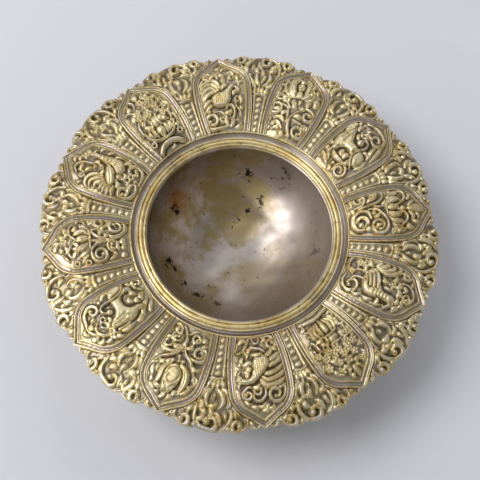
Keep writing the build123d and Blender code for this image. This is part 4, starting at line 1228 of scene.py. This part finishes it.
def makeRim(size):
    flat = np.hstack([oneScallop, np.zeros((len(oneScallop), 1))])
    edge = np.vstack([turned(flat, k + 0.5) for k in range(petalCount)])
    reach, turn = np.hypot(edge[:, 0], edge[:, 1]), np.arctan2(edge[:, 1], edge[:, 0])
    shares = np.linspace(0, 1, size["rings"])
    rows = []
    for lift, order in ((0.0, shares), (-levels["rimWall"], shares[::-1])):
        for share in order:
            end = reach - size["edgeInset"] * (share == 1)
            radius = levels["rimInner"] + (end - levels["rimInner"]) * share
            rows.append(np.stack([radius * np.cos(turn), radius * np.sin(turn), rimTop(radius) + lift], 1))
    points = np.vstack(rows)
    under = np.arange(len(points)) >= len(points) // 2
    points[:, 2] += size["beaten"] * wobble(size["beatenSize"], 5, *points.T) * under
    index = np.arange(len(points)).reshape(len(rows), len(edge))
    after = np.roll(index, -1, 0)
    quads = np.stack([index, after, np.roll(after, -1, 1), np.roll(index, -1, 1)], -1)
    dark = np.where(under, size["underDark"], size["topDark"])
    sheet = meshObject("sheet", points, quads.reshape(-1, 4).tolist(), rimGilt, {"hollow": dark})
    inner = (1 - size["rollInset"] / reach)[:, None] * edge[:, :2]
    line = np.hstack([inner, (rimTop(reach) - size["rollDrop"])[:, None]])
    roll = sweptRib("edgeRoll", line, True, finish=rimGilt, seed=7.0, **size["roll"])
    radius = size["stripRadius"]
    line = circleLine(radius, rimTop(radius) + size["stripLift"], size["stripSteps"])
    strip = sweptRib("footStrip", line, True, finish=rimGilt, seed=8.0, **size["strip"])
    return joined("rimSheet", [sheet, roll, strip])


rimSheet = makeRim(edgeSize)
print("rim made")

# Petals: framed plates with a chased figure on each
petalSize = {
    "foot": 78.5, "tip": 140.5,            # reach from the bowl's axis
    "footHalf": 17.0, "footAt": 77.6,      # half width at the foot, and where it is taken
    "half": 22.0, "shoulder": 115.0,       # greatest half width, and where it lies
    "bend": (13.5, 131.0),                 # where the shoulder turns up to the tip
    "rootAt": 70.0, "axisGap": 0.25, "sideSteps": 60, "shoulderSteps": 24, "tipSteps": 20,
    "columns": 150, "rows": 210, "baseColumns": 7, "baseLift": 0.02,
    "frame": 4.6, "frameTop": 1.5, "groove": 0.95, "grooveFrom": 1.1, "grooveOver": 2.9,
    "outerRib": (0.62, 1.25, 2.15), "innerRib": (4.35, 1.05, 2.0),      # inset, width, height
    "ribSeat": 0.9, "ribUneven": 0.22, "ribRubbed": 0.35,
    "panelHalf": 17.0, "edge": 1.3, "rise": 1.9, "middle": 107.2, "bow": 78.2,      # the panel's crown
    "fillers": 9, "fillerInset": 0.8,
    "fadeIn": (0.1, 1.0), "footFade": (0.0, 0.9),      # relief comes in from the frame and the foot
    "beaten": 0.05, "beatenSize": 3.0,
    "cavity": 0.75,                        # depth that is wholly dark
    "frameDark": 0.2, "frameDarkTo": 4.2,
    "grooveMark": ((1.0, 1.5), (3.7, 4.1)), "groundMark": 0.75, "groundAt": (0.7, 0.15),
}


def outlineArcs(size):
    # circles of the outline's right half as (centre x, centre y, radius): side, shoulder, run up to the tip
    flare, run = size["half"] - size["footHalf"], size["shoulder"] - size["footAt"]
    side = (flare ** 2 + run ** 2) / (2 * flare)
    x, y = size["bend"]
    back, rise = size["half"] - x, y - size["shoulder"]
    shoulder = (back ** 2 + rise ** 2) / (2 * back)
    nx, ny = (shoulder - back) / shoulder, rise / shoulder
    drop = y - size["tip"]
    reach = -(x ** 2 + drop ** 2) / (2 * (x * nx + drop * ny))
    return ((size["half"] - side, size["shoulder"], side),
            (size["half"] - shoulder, size["shoulder"], shoulder),
            (x + reach * nx, y + reach * ny, reach))


arcs = outlineArcs(petalSize)


def halfWidth(y):
    side, shoulder, tip = (np.sqrt(np.maximum(0, radius ** 2 - (y - cy) ** 2)) for _, cy, radius in arcs)
    bent = np.where(y < petalSize["bend"][1], arcs[1][0] + shoulder, np.maximum(arcs[2][0] - tip, 0))
    return np.where(y < arcs[0][1], arcs[0][0] + side, bent)


def arcPoints(arc, inset, start, end, count):
    cx, cy, radius = arc
    angle = np.linspace(start, end, count)
    return np.stack([cx + (radius - inset) * np.cos(angle), cy + (radius - inset) * np.sin(angle)], 1)


def insetLine(inset, foot, size):
    # right half of the outline moved inwards, foot to axis, then mirrored back to the other foot
    (_, sy, sr), (hx, hy, _), (tx, ty, _) = arcs
    x, y = size["bend"]
    side = arcPoints(arcs[0], inset, math.asin((size["rootAt"] - sy) / sr), 0, size["sideSteps"])
    side = side[np.hypot(side[:, 0], side[:, 1]) >= foot]
    shoulder = arcPoints(arcs[1], inset, 0, math.atan2(y - hy, x - hx), size["shoulderSteps"])[1:]
    toTip = math.atan2(y - ty, x - tx), math.atan2(size["tip"] - ty, -tx)
    right = np.vstack([side, shoulder, arcPoints(arcs[2], -inset, *toTip, size["tipSteps"])[1:]])
    right = right[right[:, 0] > size["axisGap"]]
    step = right[-1] - right[-2]
    tip = right[-1] + step * (right[-1][0] / max(-step[0], 1e-6))
    return np.vstack([right, [tip], (right * [-1, 1])[::-1]])


def groundTop(x, y, size):
    # panel's crowned surface: an arch across, swung on a larger arc along the petal
    across = (size["panelHalf"] ** 2 + size["rise"] ** 2) / (2 * size["rise"])
    crown = rimTop(size["middle"]) + size["edge"] + size["rise"]
    drop = across - np.sqrt(across ** 2 - x ** 2)
    return crown - size["bow"] + np.sqrt((size["bow"] - drop) ** 2 - (y - size["middle"]) ** 2)


def petalGrid(size):
    across, along = np.meshgrid(np.linspace(-1, 1, size["columns"]), np.linspace(0, 1, size["rows"]))
    y = size["foot"] + (size["tip"] - size["foot"]) * along
    x = across * halfWidth(y)
    y = y + (1 - along) ** 2 * (np.sqrt(size["foot"] ** 2 - x ** 2) - size["foot"])
    return across * halfWidth(y), y


def petalFaces(size):
    # chased top, coarse base and the walls between them
    rows, columns, few = size["rows"], size["columns"], size["baseColumns"]
    top = np.arange(rows * columns).reshape(rows, columns)
    low = rows * columns + np.arange(rows * few).reshape(rows, few)
    under = gridQuads(low)[..., [0, 3, 2, 1]]
    left = np.stack([top[:-1, 0], top[1:, 0], low[1:, 0], low[:-1, 0]], -1)
    right = np.stack([top[:-1, -1], low[:-1, -1], low[1:, -1], top[1:, -1]], -1)
    quads = np.vstack([gridQuads(top).reshape(-1, 4), under.reshape(-1, 4), left, right])
    ends = [np.concatenate([low[0], top[0][::-1]]), np.concatenate([top[-1], low[-1][::-1]])]
    return quads.tolist() + [end.tolist() for end in ends]


petalX, petalY = petalGrid(petalSize)
petalSeat = rimTopAt(petalX, petalY)
outline = insetLine(0.0, 0.0, petalSize)      # whole, down to the root
petalEdge = gapToLine(petalX, petalY, outline)
petalQuads = petalFaces(petalSize)

wearSize = {"hollowReach": 5, "rubbedReach": 4, "rubbed": 0.9}


def chasedMarks(height, cavity, groove):
    # dark in the hollows, rubbed on the heights
    hollow = np.clip((softened(height, wearSize["hollowReach"]) - height) / cavity, 0, 1)
    rubbed = np.clip((height - softened(height, wearSize["rubbedReach"])) / wearSize["rubbed"], 0, 1)
    return {"hollow": hollow, "groove": groove, "rubbed": rubbed}


def makePetal(number, figure, size):
    work = Chasing(petalX, petalY)
    figure(work)
    footGap = np.hypot(petalX, petalY) - size["foot"]
    bare = np.minimum(petalEdge - size["frame"], footGap) > size["fillerInset"]
    work.filler(bare, number, size["fillers"])
    within = smoothStep(petalEdge - size["frame"], *size["fadeIn"]) * smoothStep(footGap, *size["footFade"])
    relief = softened(work.height, 1) * within
    dip = np.sin(math.pi * np.clip((petalEdge - size["grooveFrom"]) / size["grooveOver"], 0, 1))
    crowned = groundTop(petalX, petalY, size) - petalSeat
    height = np.where(petalEdge < size["frame"], size["frameTop"] - size["groove"] * dip, crowned) + relief
    height += size["beaten"] * wobble(size["beatenSize"], 100 + number, petalX, petalY)
    grooveIn, grooveOut = (smoothStep(petalEdge, *ends) for ends in size["grooveMark"])
    ground = smoothStep(relief, *size["groundAt"]) * within
    groove = np.clip(grooveIn * (1 - grooveOut) + size["groundMark"] * ground, 0, 1)
    marks = chasedMarks(height, size["cavity"], groove)
    marks["hollow"] = marks["hollow"] * np.where(petalEdge < size["frameDarkTo"], size["frameDark"], 1)
    keep = np.linspace(0, size["columns"] - 1, size["baseColumns"]).astype(int)
    top = np.stack([petalX, petalY, petalSeat + height], -1).reshape(-1, 3)
    base = np.stack([petalX, petalY, petalSeat + size["baseLift"]], -1)[:, keep].reshape(-1, 3)
    marks = {label: np.concatenate([values.ravel(), np.zeros(len(base))]) for label, values in marks.items()}
    spin = number - 1
    parts = [meshObject("plate", turned(np.vstack([top, base]), spin), petalQuads, petalGilt, marks)]
    for k, (inset, width, tall) in enumerate((size["outerRib"], size["innerRib"])):
        line = insetLine(inset, size["foot"], size)
        line = np.hstack([line, (rimTopAt(*line.T) + size["ribSeat"])[:, None]])
        parts.append(sweptRib(f"rib{k}", turned(line, spin), False, width, tall - size["ribSeat"], petalGilt,
                              size["ribUneven"], size["ribRubbed"], number + 0.5 * k))
    return joined(f"petal{number:02d}", parts)


petals = [makePetal(k + 1, figure, petalSize) for k, figure in enumerate(figures)]
print("petals made")

# Stems and volutes between the petals
crestSize = {
    "half": 33.0, "foot": 77.8, "top": 144.0, "step": 0.34,      # grid round a stem's axis
    "overlap": 0.002,                      # how far a crest reaches past its sector, in radians
    "sink": 0.4, "margin": 0.1, "cutAt": -0.15,
    "lift": 0.35, "edgeDrop": 0.6, "liftOver": (-0.2, 0.7),
    "fillers": 5, "fillerRoom": 0.5, "fillersFrom": 110,
    "looseOver": (106, 116), "looseX": 0.8, "looseSizeX": 22, "looseY": 0.6, "looseSizeY": 20,
    "beaten": 0.05, "beatenSize": 3.0,
    "cavity": 1.0, "groundMark": 0.8, "groundAt": (0.6, 0.1),
    "beads": (80.6, 85.4, 90.2, 95.0, 99.8, 104.4),
}


def stemAndVolutes(work, size):
    for k, y in enumerate(size["beads"]):
        work.boss(0, y, 1.7 + 0.1 * k, 1.85, 0, 1.25)
    for side in (-1, 1):
        work.vine(1.1, 0.55, f"{side * 2.7},79 {side * 3.2},92 {side * 3.9},106", (1, 1))
    work.vine(2.2, 1.9, "-3.9,107.8 0,108.8 3.9,107.8", (0.9, 0.9))
    bothSides = (
        (2.4, 1.9, 0.2, "1,109.6 1.4,112.6 1.6,115.6"),
        (2.4, 1.9, 0.2, "3.2,109.4 4.8,112 5.6,115"),
        (2.9, 2.2, 0.25, "4.4,114.8 8.6,117.4 10.8,122 9.4,126.6"),
        (2.8, 2.3, 0.25, "1.2,115.4 4.8,118.8 5.8,124 3.4,128.2"),
        (3.0, 2.2, 0.3, "12.4,123.6 16.2,126.6 19.6,131.4"),
        (2.4, 2.1, 0.25, "13.2,128.4 15.6,130.6 16.4,133.4"),
    )
    for side in (-1, 1):
        for width, height, crease, points in bothSides:
            work.leaf(width, height, [(side * x, y) for x, y in trail(points)], 0, crease)
        tail = [(side * x, y) for x, y in trail("23.6,129 25,135.2 22.4,140.6 17.2,141.4")]
        work.scroll(3.0, 2.7, tail, [(side * 18.2, 137)], side * 0.72)
        work.boss(side * 29, 137.2, 2.3, 2.5, 0, 2.4)
        work.leaf(2.0, 1.9, [(side * x, y) for x, y in trail("25.8,131.6 27.2,133.4 27,136.4")], 0, 0.2)
    work.scroll(3.1, 2.8, "11.6,126.8 11.4,134 7.8,140 1.4,142", "2.2,136.8", 0.72)
    work.leaf(2.8, 2.4, "-11.6,126.6 -12.6,132 -10.4,137.6 -6,141.2", 0, 0.3)
    work.leaf(2.6, 2.3, "-0.8,130.4 -3.8,133 -5,138.4", 0, 0.25)
    work.leaf(2.2, 2.0, "-8.6,129.6 -8.2,132.6 -8.8,135.6", 0, 0.2)
    work.boss(11, 139.5, 1.7, 1.6, 0, 2.1)
    work.boss(-11.4, 139.6, 1.6, 1.6, 0, 2.1)
    work.boss(0, 120.4, 1.3, 2.2, 0, 1.9)


def crestGrid(size):
    past = 0.01      # keeps the last step
    return np.meshgrid(np.arange(-size["half"], size["half"] + past, size["step"]),
                       np.arange(size["foot"], size["top"] + past, size["step"]))


def roomRound(x, y, size):
    # free ground round each point, up to the petals' outlines and the rim's edge; below 0 outside it
    half = math.pi / petalCount
    free = np.full(x.shape, 1e9)
    covered = np.zeros(x.shape, bool)
    for side in (-1, 1):
        px = x * math.cos(half) - side * y * math.sin(half)
        py = side * x * math.sin(half) + y * math.cos(half)
        covered |= np.abs(px) < halfWidth(py)
        free = np.minimum(free, gapToLine(px, py, outline))
    free = np.where(covered, -free, free)
    toEdge = gapToLine(x, y, oneScallop)
    turn = np.arctan2(x, y)
    reach = np.interp(turn, np.arctan2(*oneScallop.T), np.hypot(*oneScallop.T))
    toEdge = np.where(np.hypot(x, y) > reach, -toEdge, toEdge)
    room = np.minimum(free, toEdge) - size["margin"]
    return np.where(np.abs(turn) > half + size["overlap"], -1, room)


def crestFaces(room, size):
    # cells of the grid that lie on free ground, with the same underneath and a wall round them
    keep = room > size["cutAt"]
    cell = gridQuads(keep).all(-1)
    used = np.zeros(room.shape, bool)
    used.flat[gridQuads(np.arange(room.size).reshape(room.shape))[cell]] = True
    count = int(used.sum())
    index = np.full(room.shape, -1)
    index[used] = np.arange(count)
    quads = gridQuads(index)[cell]
    edges = {}
    for quad in quads.tolist():
        for one, two in zip(quad, quad[1:] + quad[:1]):
            if (two, one) in edges:
                del edges[(two, one)]
            else:
                edges[(one, two)] = True
    walls = [(two, one, one + count, two + count) for one, two in edges]
    return used, quads.tolist() + (quads[:, ::-1] + count).tolist() + walls


crestX, crestY = crestGrid(crestSize)
crestSeat = rimTopAt(crestX, crestY)
crestRoom = roomRound(crestX, crestY, crestSize)
crestUsed, crestQuads = crestFaces(crestRoom, crestSize)


def makeCrest(number, size):
    loose = smoothStep(crestY, *size["looseOver"])      # no two crests are quite alike
    driftX = size["looseX"] * wobble(size["looseSizeX"], 300 + number, crestX, crestY)
    driftY = size["looseY"] * wobble(size["looseSizeY"], 320 + number, crestX, crestY)
    work = Chasing(crestX + loose * driftX, crestY + loose * driftY)
    stemAndVolutes(work, size)
    bare = (crestRoom > size["fillerRoom"]) & (crestY > size["fillersFrom"])
    work.filler(bare, 50 + number, size["fillers"])
    lift = smoothStep(crestRoom, *size["liftOver"])
    relief = softened(work.height, 1)
    height = (relief + size["lift"]) * lift - size["edgeDrop"] * (1 - lift)
    height += size["beaten"] * wobble(size["beatenSize"], 200 + number, crestX, crestY)
    groove = size["groundMark"] * smoothStep(relief, *size["groundAt"])
    marks = chasedMarks(height, size["cavity"], groove)
    under = np.zeros(int(crestUsed.sum()))
    marks = {label: np.concatenate([values[crestUsed], under]) for label, values in marks.items()}
    topAndUnder = (crestSeat + height, crestSeat - size["sink"])
    points = np.vstack([np.stack([crestX, crestY, z], -1)[crestUsed] for z in topAndUnder])
    return meshObject(f"crest{number:02d}", turned(points, number - 0.5), crestQuads, crestGilt, marks)


crests = [makeCrest(k + 1, crestSize) for k in range(petalCount)]
print("crests made")

# Foot
footSize = {
    "neck": 30.0, "join": 8.3, "flare": 6.0, "innerFlare": 4.4, "wall": 1.4, "edgeHeight": 1.4,
    "edge": ((36.3, 1.0), (36.3, 0.4), (36.0, 0.0), (33.2, 0.0)),      # radius, level
    "steps": 14, "segments": 144, "dark": 0.15, "stain": 0.5,
}


def makeFoot(size):
    cove, inner = [], []
    drop = size["join"] - size["edgeHeight"]
    for angle in np.linspace(0, math.pi / 2, size["steps"]):
        out, down = 1 - math.cos(angle), math.sin(angle)
        cove.append((size["neck"] + size["flare"] * out, size["join"] - drop * down))
        inner.append((size["neck"] - size["wall"] + size["innerFlare"] * out, size["join"] * (1 - down)))
    points, faces = lathe(cove + list(size["edge"]) + inner[::-1], size["segments"])
    return meshObject("footRing", points, faces, footSilver, {"hollow": size["dark"], "stain": size["stain"]})


footRing = makeFoot(footSize)
print("foot made")


def place(piece, slot, *nodes):
    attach(piece, "root")
    if nodes:
        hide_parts(*nodes)


place(bowlShell, "bowl_silver", "bowl")
place(lipRibs, "lip_gilt", "lip_moulding")
place(channelRing, "channel_silver", "collar")
place(rimSheet, "rim_gilt", "rim_sheet")
place(footRing, "foot_silver", "foot_ring")
for k, piece in enumerate(petals):
    place(piece, "petal_gilt", f"petal_{k + 1:02d}")
for piece in crests:
    place(piece, "rim_gilt")
print("pieces placed")

# Floor and light
studio = {
    "floorHalf": 3,
    "floorTints": (tint(222, 222, 227), tint(216, 216, 222)),
    "floorClouds": (3.0, 2),
    "floorRoughness": 0.9, "floorShine": 0.1,
    "sky": (0.93, 0.96, 1.0, 1.0), "skyStrength": 0.42,
}
lamps = {
    "keyLamp": {"spot": (-1.06, 0.2, 1.68), "target": (0, 0, 0.06), "size": 1.1, "power": 22.0},
    "bowlLamp": {"spot": (-1.64, -0.84, 1.0), "target": (0.01, 0.01, 0.03), "size": 0.05, "power": 110.0,
                 "cone": math.radians(5.6)},
    "fillLamp": {"spot": (0.25, 1.0, 0.95), "target": (0, 0, 0.06), "size": 0.9, "power": 2.4},
}


def addLamp(name, spot, target, size, power, cone=None):
    lamp = bpy.data.lights.new(name, "SPOT" if cone else "AREA")
    if cone:
        lamp.spot_size = cone
        lamp.spot_blend = 1.0
        lamp.shadow_soft_size = size
    else:
        lamp.shape = "DISK"
        lamp.size = size
    lamp.energy = power
    holder = addObject(name, lamp)
    holder.location = spot
    holder.rotation_euler = (Vector(target) - Vector(spot)).to_track_quat("-Z", "Y").to_euler()


def makeFloor(size):
    paper = bpy.data.materials.new("paper")
    paper.use_nodes = True
    tree = paper.node_tree
    shader = tree.nodes["Principled BSDF"].inputs
    shader["Roughness"].default_value = size["floorRoughness"]
    shader["Specular IOR Level"].default_value = size["floorShine"]
    where = addNode(tree, "ShaderNodeTexCoord").outputs["Object"]
    clouds = noiseAt(tree, where, *size["floorClouds"])
    tree.links.new(blend(tree, clouds, *size["floorTints"]), shader["Base Color"])
    far = size["floorHalf"]
    mesh = bpy.data.meshes.new("floor")
    mesh.from_pydata([(-far, -far, 0), (far, -far, 0), (far, far, 0), (-far, far, 0)], [], [(0, 1, 2, 3)])
    mesh.materials.append(paper)
    floor = addObject("floor", mesh)


def makeSky(size):
    world = bpy.data.worlds.new("studio")
    world.use_nodes = True
    sky = world.node_tree.nodes["Background"].inputs
    sky["Color"].default_value = size["sky"]
    sky["Strength"].default_value = size["skyStrength"]
    bpy.context.scene.world = world


makeFloor(studio)
makeSky(studio)
for name, lamp in lamps.items():
    addLamp(name, **lamp)
bpy.context.scene.view_settings.view_transform = "Standard"

# Camera, in metres and radians
view = {
    "target": (0.0, 0.0, 0.0693), "distance": 0.6405,
    "tilt": 0.362, "turn": math.radians(12.96), "roll": math.radians(6.36),
    "lens": 67.63, "sensor": 36.0, "shift": (-0.0003, -0.0218), "clipStart": 0.01,
}


def makeCamera(size):
    s, c = math.sin(size["tilt"]), math.cos(size["tilt"])
    ts, tc = math.sin(size["turn"]), math.cos(size["turn"])
    back = Vector((-ts * s, -tc * s, c))
    level = Vector((tc, -ts, 0))
    right = level * math.cos(size["roll"]) + back.cross(level) * math.sin(size["roll"])
    lens = bpy.data.cameras.new("photoCamera")
    lens.lens = size["lens"]
    lens.sensor_width = size["sensor"]
    lens.shift_x, lens.shift_y = size["shift"]
    lens.clip_start = size["clipStart"]
    camera = addObject("photoCamera", lens)
    turn = Matrix((right, back.cross(right), back)).transposed().to_4x4()
    camera.matrix_world = Matrix.Translation(Vector(size["target"]) + back * size["distance"]) @ turn
    bpy.context.scene.camera = camera


makeCamera(view)
print("studio made")
